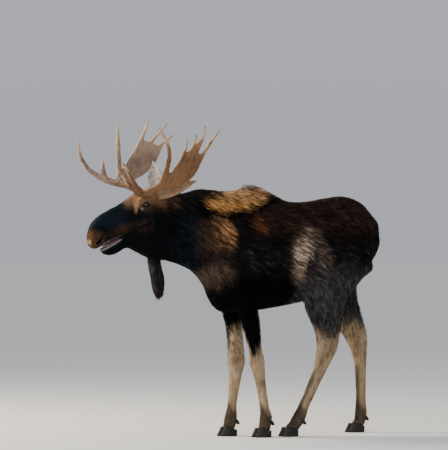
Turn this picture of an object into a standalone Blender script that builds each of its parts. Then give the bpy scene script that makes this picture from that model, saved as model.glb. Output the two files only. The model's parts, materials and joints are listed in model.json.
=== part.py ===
"""A bull moose of the Shiras kind, standing still in mid-step, at life size.

The body is modelled whole, as lofts that a voxel remesh joins into one skin, and is then
parted with thin cuts into head, jaw, neck, trunk and legs.  Ears, antlers, hooves, eyes,
tongue, bell and tail are pieces of their own, trimmed where they meet the body.

Places are written in the animal's own frame: forward of the shoulders, to its left, and
above the floor.  World +X points to its rear and +Y to its right, so it faces -X.
"""

import math
from dataclasses import dataclass

import bmesh
import bpy
import numpy as np
from mathutils import Matrix, Vector
from mathutils.bvhtree import BVHTree

# ---- Driving dimensions, metres ---------------------------------------------------------

ORIGIN_BACK = -0.015       # from the shoulder line to the box's middle, toward the rear
ORIGIN_RIGHT = -0.038      # from the midline to the box's middle, toward the right
CUT = 0.0007            # width of the cuts that part the body
TOUCH = 0.0004          # gap between a piece and the neighbour it is trimmed by
RING_SIDES = 28         # corners of a loft's cross-section
RING_STEPS = 4          # cross-sections between two given ones
BODY_VOXEL = 0.0085
ANTLER_VOXEL = 0.0055
SWELL = -0.57           # how far each smoothing round swells the surface back

STAND = 0.050           # the floor lies this far under the zero of all heights

POLL = (0.648, -0.06)   # forward and left of the head's own zero
HEAD_YAW = math.radians(10.0)     # the head turns to its right
HEAD_ROLL = math.radians(4.0)     # and its left side hangs lower
EYE_RADIUS = 0.0205
EYE_PLACE = (0.115, 0.079, 1.668)  # along the head, out from its midline, height
CORONET = 0.012         # height of the hoof's upper rim at its middle
CORONET_SLOPE = math.radians(14.0)
HOOF_LENGTH = 0.140
HOOF_WIDTH = 0.055
TOE_GAP = 0.006

CORONET_NORMAL = (math.sin(CORONET_SLOPE), 0.0, -math.cos(CORONET_SLOPE))
HOOF_FORWARD = 0.008    # from the foot's middle to the sole's
EAR_HALF = 0.058
EAR_THICK = 0.010
EAR_CUP = 0.55
PALM_ROOT = 0.034       # the palm's thickness at its root
PALM_RIM = 0.016        # and at its tines
TINE_FLAT = 0.80
TIP_RADIUS = 0.0055
TIP_EXTRA = 0.012       # what the rounding of a tine's tip takes off again

BODY_TRIANGLES = {"head": 1200, "feet": 600, "rest": 950}
ANTLER_TRIANGLES = 700
EAR_TRIANGLES = 140
BELL_TRIANGLES = 100
TAIL_TRIANGLES = 70
TONGUE_TRIANGLES = 44

# name, colour, roughness
FINISHES = {
    "coat_dark": ((0.022, 0.015, 0.012), 0.85),
    "coat_face": ((0.060, 0.036, 0.022), 0.80),
    "coat_leg": ((0.230, 0.175, 0.125), 0.85),
    "horn_dark": ((0.018, 0.015, 0.013), 0.55),
    "antler": ((0.300, 0.190, 0.110), 0.60),
    "eye": ((0.008, 0.006, 0.005), 0.08),
    "tongue": ((0.350, 0.130, 0.120), 0.45),
}


# ---- Frames -----------------------------------------------------------------------------

def body_point(forward, left, height):
    """Return the world place of a point given in the animal's frame."""
    return Vector((ORIGIN_BACK - forward, ORIGIN_RIGHT - left, height + STAND))


def head_point(along, left, height):
    """Return the world place of a point given along, left of and above the head's zero."""
    forward = POLL[0] + along * math.cos(HEAD_YAW) + left * math.sin(HEAD_YAW)
    side = POLL[1] - along * math.sin(HEAD_YAW) + left * math.cos(HEAD_YAW)
    return body_point(forward, side, height)


def rolled_head_point(along, left, height):
    """Return a head point with the head's roll, which lowers its left side."""
    return head_point(along, left, height - left * math.tan(HEAD_ROLL))


# ---- Lofts ------------------------------------------------------------------------------

@dataclass(frozen=True)
class Slice:
    """One cross-section of a loft, across the animal.

    first, last: (forward, height) of the section's upper or front edge and of its other
    edge.  side: its middle's place to the left.  half: its half-width.  lean: how much
    narrower it is toward the first edge.  boxy: 2 is an ellipse, more is squarer.
    """

    first: tuple
    last: tuple
    side: float
    half: float
    lean: float = 0.0
    boxy: float = 2.2

    def row(self):
        """Return the section's numbers as one row, for interpolation."""
        return (*self.first, *self.last, self.side, self.half, self.lean, self.boxy)


def spline_rows(rows, steps):
    """Return rows read from a Catmull-Rom curve through the given rows."""
    table = np.array(rows, dtype=float)
    padded = np.vstack((2.0 * table[0] - table[1], table, 2.0 * table[-1] - table[-2]))
    found = []
    for index in range(1, len(padded) - 2):
        before, start, end, after = padded[index - 1:index + 3]
        for step in range(steps):
            u = step / steps
            found.append(0.5 * (2.0 * start + (end - before) * u
                                + (2.0 * before - 5.0 * start + 4.0 * end - after) * u ** 2
                                + (3.0 * start - before - 3.0 * end + after) * u ** 3))
    found.append(padded[-2])
    return np.array(found)


def signed_power(value, power):
    """Return value to a power, with its sign kept."""
    return math.copysign(abs(value) ** power, value)


def skin_rings(rings):
    """Return a bmesh that joins closed rings of points one after another, ends filled."""
    shell = bmesh.new()
    loops = [[shell.verts.new(point) for point in ring] for ring in rings]
    for lower, upper in zip(loops, loops[1:]):
        for index in range(len(lower)):
            after = (index + 1) % len(lower)
            shell.faces.new((lower[index], lower[after], upper[after], upper[index]))
    shell.faces.new(list(reversed(loops[0])))
    shell.faces.new(loops[-1])
    bmesh.ops.recalc_face_normals(shell, faces=shell.faces)
    return shell


def loft(slices, place):
    """Return a bmesh lofted through slices, with each point placed by a frame function."""
    rings = []
    for f_first, z_first, f_last, z_last, side, half, lean, boxy in spline_rows(
            [piece.row() for piece in slices], RING_STEPS):
        ring = []
        for index in range(RING_SIDES):
            turn = 2.0 * math.pi * index / RING_SIDES
            across = signed_power(math.cos(turn), 2.0 / boxy)
            up = signed_power(math.sin(turn), 2.0 / boxy)
            forward = (f_first + f_last) / 2.0 + up * (f_first - f_last) / 2.0
            height = (z_first + z_last) / 2.0 + up * (z_first - z_last) / 2.0
            ring.append(place(forward, side + half * across * (1.0 - lean * up), height))
        rings.append(ring)
    return skin_rings(rings)


def limb_slices(joints, rows):
    """Return slices across a limb's path through joints (forward, left, height).

    Each row is (place along the chain of joints, reach to the front, reach to the back,
    half-width).
    """
    fine = 20
    path = spline_rows(joints, fine)
    slices = []
    for where, front, back, half in rows:
        index = round(where * fine)
        middle = path[index]
        ahead = path[min(index + 2, len(path) - 1)]
        behind = path[max(index - 2, 0)]
        run = Vector((ahead[0] - behind[0], ahead[2] - behind[2])).normalized()
        out = Vector((-run.y, run.x))
        slices.append(Slice(
            (middle[0] + out.x * front, middle[2] + out.y * front),
            (middle[0] - out.x * back, middle[2] - out.y * back),
            middle[1], half))
    return slices


def tube(points, radii, place, flat=1.0, steps=RING_STEPS, sides=16):
    """Return a bmesh tube through points with a radius at each.

    flat: the section's thickness over its width, measured across the animal.
    """
    rows = spline_rows([(*point, radius) for point, radius in zip(points, radii)], steps)
    centres = [place(*row[:3]) for row in rows]
    sideways = (place(0.0, 1.0, 0.0) - place(0.0, 0.0, 0.0)).normalized()
    rings = []
    for index, centre in enumerate(centres):
        ahead = centres[min(index + 1, len(centres) - 1)]
        behind = centres[max(index - 1, 0)]
        run = (ahead - behind).normalized()
        thin = (sideways - run * sideways.dot(run)).normalized()
        wide = run.cross(thin)
        radius = max(rows[index][3], 0.0008)
        rings.append([
            centre + thin * (math.cos(turn) * radius * flat) + wide * (math.sin(turn) * radius)
            for turn in np.linspace(0.0, 2.0 * math.pi, sides, endpoint=False)])
    return skin_rings(rings)


def blade(first, last, thick, place):
    """Return a bmesh blade between two edge paths of (along, left, height) points.

    thick: its thickness at its root and at its end.
    """
    near = spline_rows(first, 6)
    far = spline_rows(last, 6)
    rings = []
    for index, (one, other) in enumerate(zip(near, far)):
        share = index / (len(near) - 1)
        depth = thick[0] + (thick[1] - thick[0]) * share
        start = place(*one)
        end = place(*other)
        middle = (start + end) / 2.0
        wide = (end - start) / 2.0
        step = place(*near[min(index + 1, len(near) - 1)]) - place(*near[max(index - 1, 0)])
        thin = wide.cross(step).normalized() * (depth / 2.0)
        rings.append([
            middle + wide * signed_power(math.cos(turn), 0.8) + thin * math.sin(turn)
            for turn in np.linspace(0.0, 2.0 * math.pi, 24, endpoint=False)])
    return skin_rings(rings)


# ---- Meshes and objects -----------------------------------------------------------------

def new_object(name, shell, collection):
    """Return a new object that holds a bmesh, which is freed."""
    mesh = bpy.data.meshes.new(name)
    shell.to_mesh(mesh)
    shell.free()
    obj = bpy.data.objects.new(name, mesh)
    collection.objects.link(obj)
    return obj


def joined(shells):
    """Return one bmesh that holds all the given ones, which are freed."""
    whole = bmesh.new()
    for shell in shells:
        mesh = bpy.data.meshes.new("piece")
        shell.to_mesh(mesh)
        shell.free()
        whole.from_mesh(mesh)
        bpy.data.meshes.remove(mesh)
    return whole


def bake_modifiers(obj):
    """Replace an object's mesh with the one its modifiers make."""
    graph = bpy.context.evaluated_depsgraph_get()
    mesh = bpy.data.meshes.new_from_object(obj.evaluated_get(graph))
    old = obj.data
    obj.modifiers.clear()
    obj.data = mesh
    bpy.data.meshes.remove(old)


def remesh(obj, voxel):
    """Fuse an object's overlapping shells into one even surface."""
    modifier = obj.modifiers.new("Fuse", "REMESH")
    modifier.mode = "VOXEL"
    modifier.voxel_size = voxel
    modifier.adaptivity = 0.0
    bake_modifiers(obj)


def triangulate(obj):
    """Split an object's faces into triangles."""
    shell = bmesh.new()
    shell.from_mesh(obj.data)
    bmesh.ops.triangulate(shell, faces=shell.faces)
    shell.to_mesh(obj.data)
    shell.free()


def relax(obj, rounds):
    """Smooth a mesh and hardly shrink it: each round smooths, then swells it back."""
    mesh = obj.data
    count = len(mesh.vertices)
    places = np.empty(count * 3)
    mesh.vertices.foreach_get("co", places)
    places = places.reshape(count, 3)
    pairs = np.empty(len(mesh.edges) * 2, dtype=np.int64)
    mesh.edges.foreach_get("vertices", pairs)
    one, other = pairs.reshape(-1, 2).T
    degree = np.bincount(pairs, minlength=count)[:, None]
    for _ in range(rounds):
        for share in (0.60, SWELL):
            total = np.empty_like(places)
            for axis in range(3):
                total[:, axis] = (
                    np.bincount(one, weights=places[other, axis], minlength=count)
                    + np.bincount(other, weights=places[one, axis], minlength=count))
            places = places + share * (total / degree - places)
    mesh.vertices.foreach_set("co", places.ravel())
    mesh.update()


def thin_out(obj, chosen, triangles):
    """Decimate the part of a mesh whose vertices a test chooses, to so many triangles."""
    mesh = obj.data
    group = obj.vertex_groups.new(name="thin")
    group.add([vertex.index for vertex in mesh.vertices if chosen(vertex.co)], 1.0, "REPLACE")
    picked = sum(chosen(face.center) for face in mesh.polygons)
    modifier = obj.modifiers.new("Thin", "DECIMATE")
    modifier.vertex_group = group.name
    modifier.ratio = 1.0 - max(0, picked - triangles) / len(mesh.polygons)
    bake_modifiers(obj)
    obj.vertex_groups.clear()


def thin_out_all(obj, triangles):
    """Decimate a whole object to about this many triangles."""
    triangulate(obj)
    thin_out(obj, lambda place: True, triangles)


def subtract(obj, cutter):
    """Cut one object out of another, at once."""
    modifier = obj.modifiers.new("Cut", "BOOLEAN")
    modifier.operation = "DIFFERENCE"
    modifier.solver = "EXACT"
    modifier.object = cutter
    bake_modifiers(obj)


def hide_cutter(obj):
    """Mark an object as a cutter."""
    obj.hide_render = True
    obj.display_type = "WIRE"


def slab(name, middle, normal, spans, cutters):
    """Return a thin cutting slab: its middle, its normal, and its two half-sizes.

    The first half-size runs up the slab and the second across the animal.
    """
    shell = bmesh.new()
    bmesh.ops.create_cube(shell, size=1.0)
    bmesh.ops.scale(shell, vec=(2.0 * spans[0], 2.0 * spans[1], CUT), verts=shell.verts)
    normal = normal.normalized()
    across = normal.cross(Vector((0.0, 0.0, 1.0)))
    if across.length < 0.05:
        across = Vector((0.0, 1.0, 0.0))
    across.normalize()
    up = across.cross(normal)
    turn = Matrix((up, across, normal)).transposed().to_4x4()
    bmesh.ops.transform(shell, matrix=Matrix.Translation(middle) @ turn, verts=shell.verts)
    bmesh.ops.recalc_face_normals(shell, faces=shell.faces)
    cutter = new_object(name, shell, cutters)
    hide_cutter(cutter)
    return cutter


def swollen(obj, cutters):
    """Return a cutter that is an object's surface, moved out by the touching gap."""
    shell = bmesh.new()
    shell.from_mesh(obj.data)
    shell.normal_update()
    for vertex in shell.verts:
        vertex.co += vertex.normal * TOUCH * 1.3
    cutter = new_object(obj.name + "_rim", shell, cutters)
    hide_cutter(cutter)
    return cutter


def loose_pieces(obj):
    """Return the bmeshes of an object's separate closed bodies, largest first."""
    whole = bmesh.new()
    whole.from_mesh(obj.data)
    whole.verts.ensure_lookup_table()
    seen = set()
    pieces = []
    for start in whole.verts:
        if start.index in seen:
            continue
        seen.add(start.index)
        group = [start]
        for vertex in group:
            for edge in vertex.link_edges:
                other = edge.other_vert(vertex)
                if other.index not in seen:
                    seen.add(other.index)
                    group.append(other)
        pieces.append([vertex.index for vertex in group])
    pieces.sort(key=len, reverse=True)
    found = []
    for piece in pieces:
        kept = set(piece)
        part = whole.copy()
        part.verts.ensure_lookup_table()
        extra = [vertex for vertex in part.verts if vertex.index not in kept]
        bmesh.ops.delete(part, geom=extra, context="VERTS")
        found.append(part)
    whole.free()
    return found


def name_pieces(obj, anchors, collection):
    """Split an object into its loose bodies, each named by the anchor it lies nearest."""
    pieces = loose_pieces(obj)
    trees = [BVHTree.FromBMesh(piece) for piece in pieces]
    named = {}
    for name, anchor in anchors.items():
        distances = [tree.find_nearest(anchor)[3] for tree in trees]
        index = distances.index(min(distances))
        named[name] = new_object(name, pieces[index], collection)
        pieces[index] = bmesh.new()
        trees[index] = BVHTree.FromPolygons([(9.0, 9.0, 9.0), (9.1, 9.0, 9.0), (9.0, 9.1, 9.0)],
                                            [(0, 1, 2)])
    for piece in pieces:
        piece.free()
    mesh = obj.data
    bpy.data.objects.remove(obj)
    bpy.data.meshes.remove(mesh)
    return named


def keep_largest(obj):
    """Drop all but an object's largest closed body."""
    pieces = loose_pieces(obj)
    pieces[0].to_mesh(obj.data)
    for piece in pieces:
        piece.free()


# ---- The body ---------------------------------------------------------------------------

def trunk_slices():
    """Return the sections of neck and trunk, from inside the head to the rump."""
    return [
        Slice((0.72, 1.710), (0.70, 1.400), -0.068, 0.070, 0.05),
        Slice((0.62, 1.748), (0.61, 1.262), -0.055, 0.108, 0.12),
        Slice((0.48, 1.752), (0.48, 1.222), -0.030, 0.130, 0.20),
        Slice((0.34, 1.784), (0.35, 1.155), -0.012, 0.146, 0.25),
        Slice((0.22, 1.770), (0.245, 1.035), 0.0, 0.168, 0.28),
        Slice((0.12, 1.764), (0.17, 0.890), 0.0, 0.193, 0.32),
        Slice((0.03, 1.778), (0.07, 0.862), 0.0, 0.213, 0.38),
        Slice((-0.07, 1.822), (-0.06, 0.872), 0.0, 0.228, 0.46),
        Slice((-0.17, 1.802), (-0.17, 0.884), 0.0, 0.240, 0.42),
        Slice((-0.29, 1.740), (-0.29, 0.900), 0.0, 0.256, 0.30),
        Slice((-0.43, 1.692), (-0.43, 0.922), 0.0, 0.265, 0.20),
        Slice((-0.60, 1.694), (-0.57, 0.952), 0.0, 0.252, 0.16),
        Slice((-0.76, 1.720), (-0.71, 1.005), 0.0, 0.236, 0.14),
        Slice((-0.90, 1.730), (-0.85, 1.065), 0.0, 0.228, 0.14),
        Slice((-1.03, 1.692), (-0.99, 1.130), 0.0, 0.208, 0.12),
        Slice((-1.135, 1.590), (-1.11, 1.215), 0.0, 0.150, 0.05),
        Slice((-1.195, 1.450), (-1.19, 1.330), 0.0, 0.070, 0.0),
    ]


FORELEG_ROWS = [
    (0.0, 0.100, 0.100, 0.020),
    (0.5, 0.150, 0.150, 0.072),
    (1.0, 0.125, 0.210, 0.102),
    (1.5, 0.130, 0.130, 0.098),
    (2.0, 0.118, 0.092, 0.084),
    (2.25, 0.086, 0.076, 0.069),
    (2.5, 0.064, 0.062, 0.057),
    (2.8, 0.052, 0.051, 0.050),
    (3.0, 0.058, 0.061, 0.054),
    (3.2, 0.043, 0.047, 0.043),
    (3.5, 0.037, 0.039, 0.035),
    (3.8, 0.038, 0.042, 0.036),
    (4.0, 0.046, 0.053, 0.044),
    (4.5, 0.045, 0.049, 0.048),
    (5.0, 0.044, 0.048, 0.049),
]

HINDLEG_ROWS = [
    (0.0, 0.190, 0.190, 0.035),
    (0.5, 0.300, 0.330, 0.088),
    (1.0, 0.365, 0.385, 0.112),
    (1.5, 0.290, 0.300, 0.110),
    (2.0, 0.210, 0.210, 0.090),
    (2.4, 0.152, 0.145, 0.068),
    (2.7, 0.110, 0.110, 0.055),
    (2.95, 0.090, 0.096, 0.050),
    (3.1, 0.072, 0.080, 0.047),
    (3.3, 0.048, 0.056, 0.040),
    (3.55, 0.041, 0.044, 0.036),
    (3.8, 0.040, 0.044, 0.036),
    (4.0, 0.048, 0.055, 0.044),
    (4.5, 0.045, 0.049, 0.048),
    (5.0, 0.044, 0.048, 0.049),
]


@dataclass(frozen=True)
class Leg:
    """A leg: its joints from the top to the foot, its rows, and where it is parted.

    joints: (forward, left, height) places, six in all: top, shoulder or thigh, elbow or
    gaskin, knee or hock, fetlock, foot.  reach: scale of the first rows' front and back.
    knee_back: what is added to the back about the knee.
    """

    name: str
    side: float
    joints: tuple
    rows: tuple
    reach: float
    root: tuple
    root_normal: tuple
    root_spans: tuple
    knee_back: float = 0.0

    def shell(self):
        """Return the leg's loft."""
        rows = []
        for where, front, back, half in self.rows:
            grow = self.reach if where < 1.8 else 1.0
            knee = self.knee_back * math.exp(-((where - 2.9) / 0.4) ** 2)
            rows.append((where, front * grow, back * grow + knee, half))
        return loft(limb_slices(self.joints, rows), body_point)


LEGS = (
    Leg("foreleg_left", 1.0,
        ((0.0, 0.08, 1.62), (0.15, 0.135, 1.24), (0.035, 0.165, 1.00), (-0.070, 0.158, 0.50),
         (-0.146, 0.150, 0.092), (-0.118, 0.150, -0.005)),
        tuple(FORELEG_ROWS), 1.0,
        (0.04, 0.185, 1.00), (0.50, 0.76, -0.65), (0.27, 0.31)),
    Leg("foreleg_right", -1.0,
        ((0.0, -0.08, 1.62), (0.11, -0.135, 1.24), (-0.030, -0.162, 0.99),
         (-0.050, -0.140, 0.50), (-0.010, -0.130, 0.092), (0.012, -0.130, -0.005)),
        tuple(FORELEG_ROWS), 0.96,
        (0.02, -0.185, 1.00), (0.50, -0.76, -0.65), (0.27, 0.31), 0.028),
    Leg("hindleg_left", 1.0,
        ((-0.84, 0.09, 1.60), (-0.705, 0.150, 1.30), (-0.655, 0.162, 1.00),
         (-0.668, 0.150, 0.600), (-0.437, 0.140, 0.092), (-0.355, 0.140, -0.005)),
        tuple(HINDLEG_ROWS), 1.0,
        (-0.70, 0.17, 1.10), (-0.40, 0.74, -0.67), (0.42, 0.50)),
    Leg("hindleg_right", -1.0,
        ((-0.86, -0.09, 1.60), (-0.850, -0.150, 1.30), (-0.930, -0.160, 1.00),
         (-1.125, -0.150, 0.645), (-1.150, -0.140, 0.092), (-1.105, -0.140, -0.005)),
        tuple(HINDLEG_ROWS), 0.88,
        (-0.76, -0.17, 1.10), (-0.40, -0.74, -0.67), (0.42, 0.50)),
)


def head_slices():
    """Return the sections of the skull and the long upper muzzle, from poll to nose."""
    return [
        Slice((-0.06, 1.770), (-0.12, 1.380), 0.0, 0.098, 0.10),
        Slice((0.05, 1.775), (0.00, 1.360), 0.0, 0.100, 0.0),
        Slice((0.14, 1.762), (0.09, 1.375), 0.0, 0.096, -0.12),
        Slice((0.215, 1.722), (0.17, 1.395), 0.0, 0.083, -0.05),
        Slice((0.29, 1.670), (0.25, 1.410), 0.0, 0.065, 0.12),
        Slice((0.375, 1.628), (0.33, 1.395), 0.0, 0.062, 0.18),
        Slice((0.455, 1.583), (0.40, 1.366), 0.0, 0.068, 0.20, 2.4),
        Slice((0.508, 1.530), (0.455, 1.342), 0.0, 0.072, 0.18, 2.5),
        Slice((0.533, 1.460), (0.495, 1.336), 0.0, 0.070, 0.10, 2.5),
        Slice((0.540, 1.405), (0.522, 1.352), 0.0, 0.056, 0.0),
    ]


def jaw_slices():
    """Return the sections of throat and lower jaw, from the neck to the lower lip."""
    return [
        Slice((-0.06, 1.520), (-0.08, 1.258), 0.0, 0.104),
        Slice((0.08, 1.500), (0.07, 1.268), 0.0, 0.088, -0.1),
        Slice((0.19, 1.470), (0.17, 1.315), 0.0, 0.070, -0.2),
        Slice((0.275, 1.420), (0.245, 1.345), 0.0, 0.056, -0.1),
        Slice((0.340, 1.400), (0.315, 1.303), 0.0, 0.050, -0.1),
        Slice((0.405, 1.375), (0.375, 1.288), 0.0, 0.048),
        Slice((0.446, 1.348), (0.430, 1.304), 0.0, 0.040),
    ]


def cheek_shells():
    """Return the jaw muscles, brows and nostril swellings that stand out from the head."""
    shells = []
    for side in (-1.0, 1.0):
        places = (
            ((0.10, 0.050 * side, 1.550), (0.110, 0.045, 0.115)),
            ((0.118, 0.066 * side, 1.700), (0.056, 0.034, 0.040)),
            ((0.480, 0.048 * side, 1.410), (0.055, 0.028, 0.055)),
        )
        for place, radii in places:
            shell = bmesh.new()
            bmesh.ops.create_uvsphere(shell, u_segments=24, v_segments=16, radius=1.0)
            bmesh.ops.scale(shell, vec=radii, verts=shell.verts)
            bmesh.ops.rotate(shell, verts=shell.verts, cent=(0.0, 0.0, 0.0),
                             matrix=Matrix.Rotation(HEAD_YAW, 3, "Z"))
            bmesh.ops.translate(shell, vec=rolled_head_point(*place), verts=shell.verts)
            shells.append(shell)
    return shells


def build_body(collection):
    """Return the whole body as one object: trunk, neck, head and legs to the hooves."""
    shells = [
        loft(trunk_slices(), body_point),
        loft(head_slices(), rolled_head_point),
        loft(jaw_slices(), rolled_head_point),
    ]
    shells.extend(cheek_shells())
    shells.extend(leg.shell() for leg in LEGS)
    body = new_object("body", joined(shells), collection)
    remesh(body, BODY_VOXEL)
    relax(body, 40)
    triangulate(body)
    head_middle = head_point(0.24, 0.0, 1.55)
    thin_out(body, lambda centre: (centre - head_middle).length < 0.40,
             BODY_TRIANGLES["head"])
    thin_out(body, lambda centre: centre.z < 0.70, BODY_TRIANGLES["feet"])
    thin_out(body, lambda centre: centre.z >= 0.70 and (centre - head_middle).length >= 0.40,
             BODY_TRIANGLES["rest"])
    thin_out_all(body, sum(BODY_TRIANGLES.values()))
    return body


def mouth_cutter(cutters):
    """Return the wedge that opens the mouth between the lips."""
    slices = [
        Slice((0.278, 1.436), (0.275, 1.428), 0.0, 0.10),
        Slice((0.345, 1.411), (0.338, 1.391), 0.0, 0.10),
        Slice((0.405, 1.391), (0.395, 1.360), 0.0, 0.10),
        Slice((0.448, 1.361), (0.438, 1.339), 0.0, 0.10),
        Slice((0.500, 1.333), (0.480, 1.311), 0.0, 0.10),
    ]
    cutter = new_object("mouth", loft(slices, rolled_head_point), cutters)
    hide_cutter(cutter)
    return cutter


def heading(forward, left, height):
    """Return a direction given in the animal's frame, in world axes."""
    return body_point(forward, left, height) - body_point(0.0, 0.0, 0.0)


def leg_cuts(leg, cutters):
    """Return the slabs that part a leg at its root, knee or hock, fetlock and coronet."""
    cuts = [slab(f"cut_{leg.name}_root", body_point(*leg.root), heading(*leg.root_normal),
                 leg.root_spans, cutters)]
    for index, rise in ((3, 0.085), (4, 0.052)):
        joint = Vector(leg.joints[index])
        run = (joint - Vector(leg.joints[index - 1])).normalized()
        cuts.append(slab(f"cut_{leg.name}_{index}", body_point(*(joint - run * rise)),
                         heading(*run), (0.15, 0.12), cutters))
    toe = leg.joints[5]
    cuts.append(slab(f"cut_{leg.name}_coronet", body_point(toe[0], toe[1], CORONET),
                     heading(*CORONET_NORMAL), (0.12, 0.12), cutters))
    return cuts


def part_body(body, collection, cutters):
    """Cut the body at its joints and return its named pieces."""
    cuts = [
        mouth_cutter(cutters),
        slab("cut_jaw", rolled_head_point(0.268, 0.0, 1.371), heading(1.0, -0.17, -0.62),
             (0.062, 0.11), cutters),
        slab("cut_head", head_point(-0.085, 0.0, 1.50), heading(1.0, -0.17, -0.02),
             (0.40, 0.24), cutters),
        slab("cut_neck", body_point(0.305, -0.01, 1.45), heading(1.0, 0.0, 0.10),
             (0.48, 0.40), cutters),
    ]
    anchors = {
        "jaw": rolled_head_point(0.36, 0.0, 1.30),
        "head": rolled_head_point(0.20, 0.0, 1.70),
        "neck": body_point(0.42, 0.10, 1.50),
        "trunk": body_point(-0.40, 0.0, 1.65),
    }
    for leg in LEGS:
        cuts.extend(leg_cuts(leg, cutters))
        for label, start, share in (("upper", 2, 0.5), ("lower", 3, 0.5), ("foot", 4, 0.4)):
            one = Vector(leg.joints[start])
            anchors[f"{leg.name}_{label}"] = body_point(*one.lerp(leg.joints[start + 1], share))
        toe = leg.joints[5]
        anchors[f"waste_{leg.name}"] = body_point(toe[0], toe[1], 0.02 - STAND)
    for cutter in cuts:
        subtract(body, cutter)
    pieces = name_pieces(body, anchors, collection)
    for leg in LEGS:
        bpy.data.objects.remove(pieces.pop(f"waste_{leg.name}"))
    return pieces


# ---- Pieces of the head -----------------------------------------------------------------

def ball(name, middle, radius, segments, collection):
    """Return a sphere."""
    shell = bmesh.new()
    bmesh.ops.create_uvsphere(shell, u_segments=segments, v_segments=segments // 2,
                              radius=radius)
    bmesh.ops.translate(shell, vec=middle, verts=shell.verts)
    return new_object(name, shell, collection)


def add_eyes(head, collection, cutters):
    """Sink both eyeballs into sockets cut in the head."""
    for label, side in (("left", 1.0), ("right", -1.0)):
        along, out, height = EYE_PLACE
        middle = rolled_head_point(along, out * side, height)
        ball(f"eye_{label}", middle, EYE_RADIUS, 12, collection)
        socket = ball(f"socket_{label}", middle, EYE_RADIUS + TOUCH, 12, cutters)
        hide_cutter(socket)
        subtract(head, socket)


def ear_shell(base, tip, opening):
    """Return a leaf-shaped, cupped ear from its base to its tip.

    opening: the direction (along, left, height) its hollow side faces.
    """
    start = head_point(*base)
    run = head_point(*tip) - start
    face = head_point(*opening) - head_point(0.0, 0.0, 0.0)
    face = (face - run * face.dot(run) / run.length_squared).normalized()
    across = run.cross(face).normalized()
    rings = []
    for share in np.linspace(0.0, 1.0, 12):
        half = EAR_HALF * (0.55 + 0.55 * math.sin(math.pi * min(share * 1.1, 1.0)))
        half *= math.sqrt(max(1.0 - share ** 3.0, 0.02))
        thick = EAR_THICK * (1.5 - 0.6 * share)
        cup = EAR_CUP * half
        ring = []
        for turn in np.linspace(0.0, 2.0 * math.pi, 20, endpoint=False):
            wide = math.cos(turn)
            lift = thick * math.sin(turn) + cup * (wide * wide - 0.4)
            ring.append(start + run * share + across * (wide * half) + face * lift)
        rings.append(ring)
    return skin_rings(rings)


def add_ears(head, neck, collection, cutters):
    """Add both ears: the right one up and turned forward, the left one laid back."""
    places = {
        "ear_right": ((-0.030, -0.070, 1.735), (-0.035, -0.205, 1.990), (0.62, 0.78, 0.1)),
        "ear_left": ((0.020, 0.060, 1.715), (-0.232, 0.205, 1.835), (0.25, 0.80, 0.55)),
    }
    for name, place in places.items():
        ear = new_object(name, ear_shell(*place), collection)
        remesh(ear, ANTLER_VOXEL)
        relax(ear, 10)
        triangulate(ear)
        thin_out(ear, lambda centre: True, EAR_TRIANGLES)
        subtract(ear, swollen(head, cutters))
        subtract(ear, swollen(neck, cutters))
        keep_largest(ear)


def add_tongue(head, jaw, collection, cutters):
    """Lay the tongue on the lower jaw, in the open mouth."""
    slices = [
        Slice((0.288, 1.431), (0.280, 1.395), 0.0, 0.020),
        Slice((0.340, 1.408), (0.326, 1.370), 0.0, 0.032),
        Slice((0.390, 1.388), (0.375, 1.340), 0.0, 0.032),
        Slice((0.424, 1.364), (0.414, 1.330), 0.0, 0.020),
    ]
    tongue = new_object("tongue", loft(slices, rolled_head_point), collection)
    thin_out_all(tongue, TONGUE_TRIANGLES)
    subtract(tongue, swollen(jaw, cutters))
    subtract(tongue, swollen(head, cutters))
    keep_largest(tongue)


def add_bell(head, neck, collection, cutters):
    """Hang the bell, a flap of skin and long hair, under the throat."""
    slices = [
        Slice((0.095, 1.330), (-0.035, 1.330), 0.0, 0.045),
        Slice((0.078, 1.245), (-0.028, 1.240), 0.0, 0.036),
        Slice((0.055, 1.130), (-0.052, 1.130), 0.0, 0.034),
        Slice((0.042, 1.050), (-0.056, 1.055), 0.0, 0.031),
        Slice((0.022, 1.000), (-0.040, 1.005), 0.0, 0.022),
        Slice((0.000, 0.987), (-0.020, 0.989), 0.0, 0.008),
    ]
    bell = new_object("bell", loft(slices, head_point), collection)
    thin_out_all(bell, BELL_TRIANGLES)
    subtract(bell, swollen(head, cutters))
    subtract(bell, swollen(neck, cutters))
    keep_largest(bell)


def add_tail(trunk, collection, cutters):
    """Hang the short tail behind the rump."""
    slices = [
        Slice((-1.060, 1.600), (-1.075, 1.560), 0.0, 0.030),
        Slice((-1.140, 1.590), (-1.130, 1.545), 0.0, 0.034),
        Slice((-1.195, 1.555), (-1.165, 1.520), 0.0, 0.032),
        Slice((-1.222, 1.490), (-1.185, 1.480), 0.0, 0.028),
        Slice((-1.222, 1.420), (-1.196, 1.418), 0.0, 0.018),
        Slice((-1.214, 1.388), (-1.204, 1.387), 0.0, 0.007),
    ]
    tail = new_object("tail", loft(slices, body_point), collection)
    thin_out_all(tail, TAIL_TRIANGLES)
    subtract(tail, swollen(trunk, cutters))
    keep_largest(tail)


# ---- Antlers ----------------------------------------------------------------------------

@dataclass(frozen=True)
class Antler:
    """One antler: its beam, tines and palm, as paths of (along, left, height, radius).

    front, back: the palm's two edges, without a radius.  brow_cut, palm_cut: middle and
    direction of the cuts at its two forks.
    """

    name: str
    beam: tuple
    brow: tuple
    tines: tuple
    front: tuple
    back: tuple
    brow_cut: tuple
    palm_cut: tuple


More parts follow.
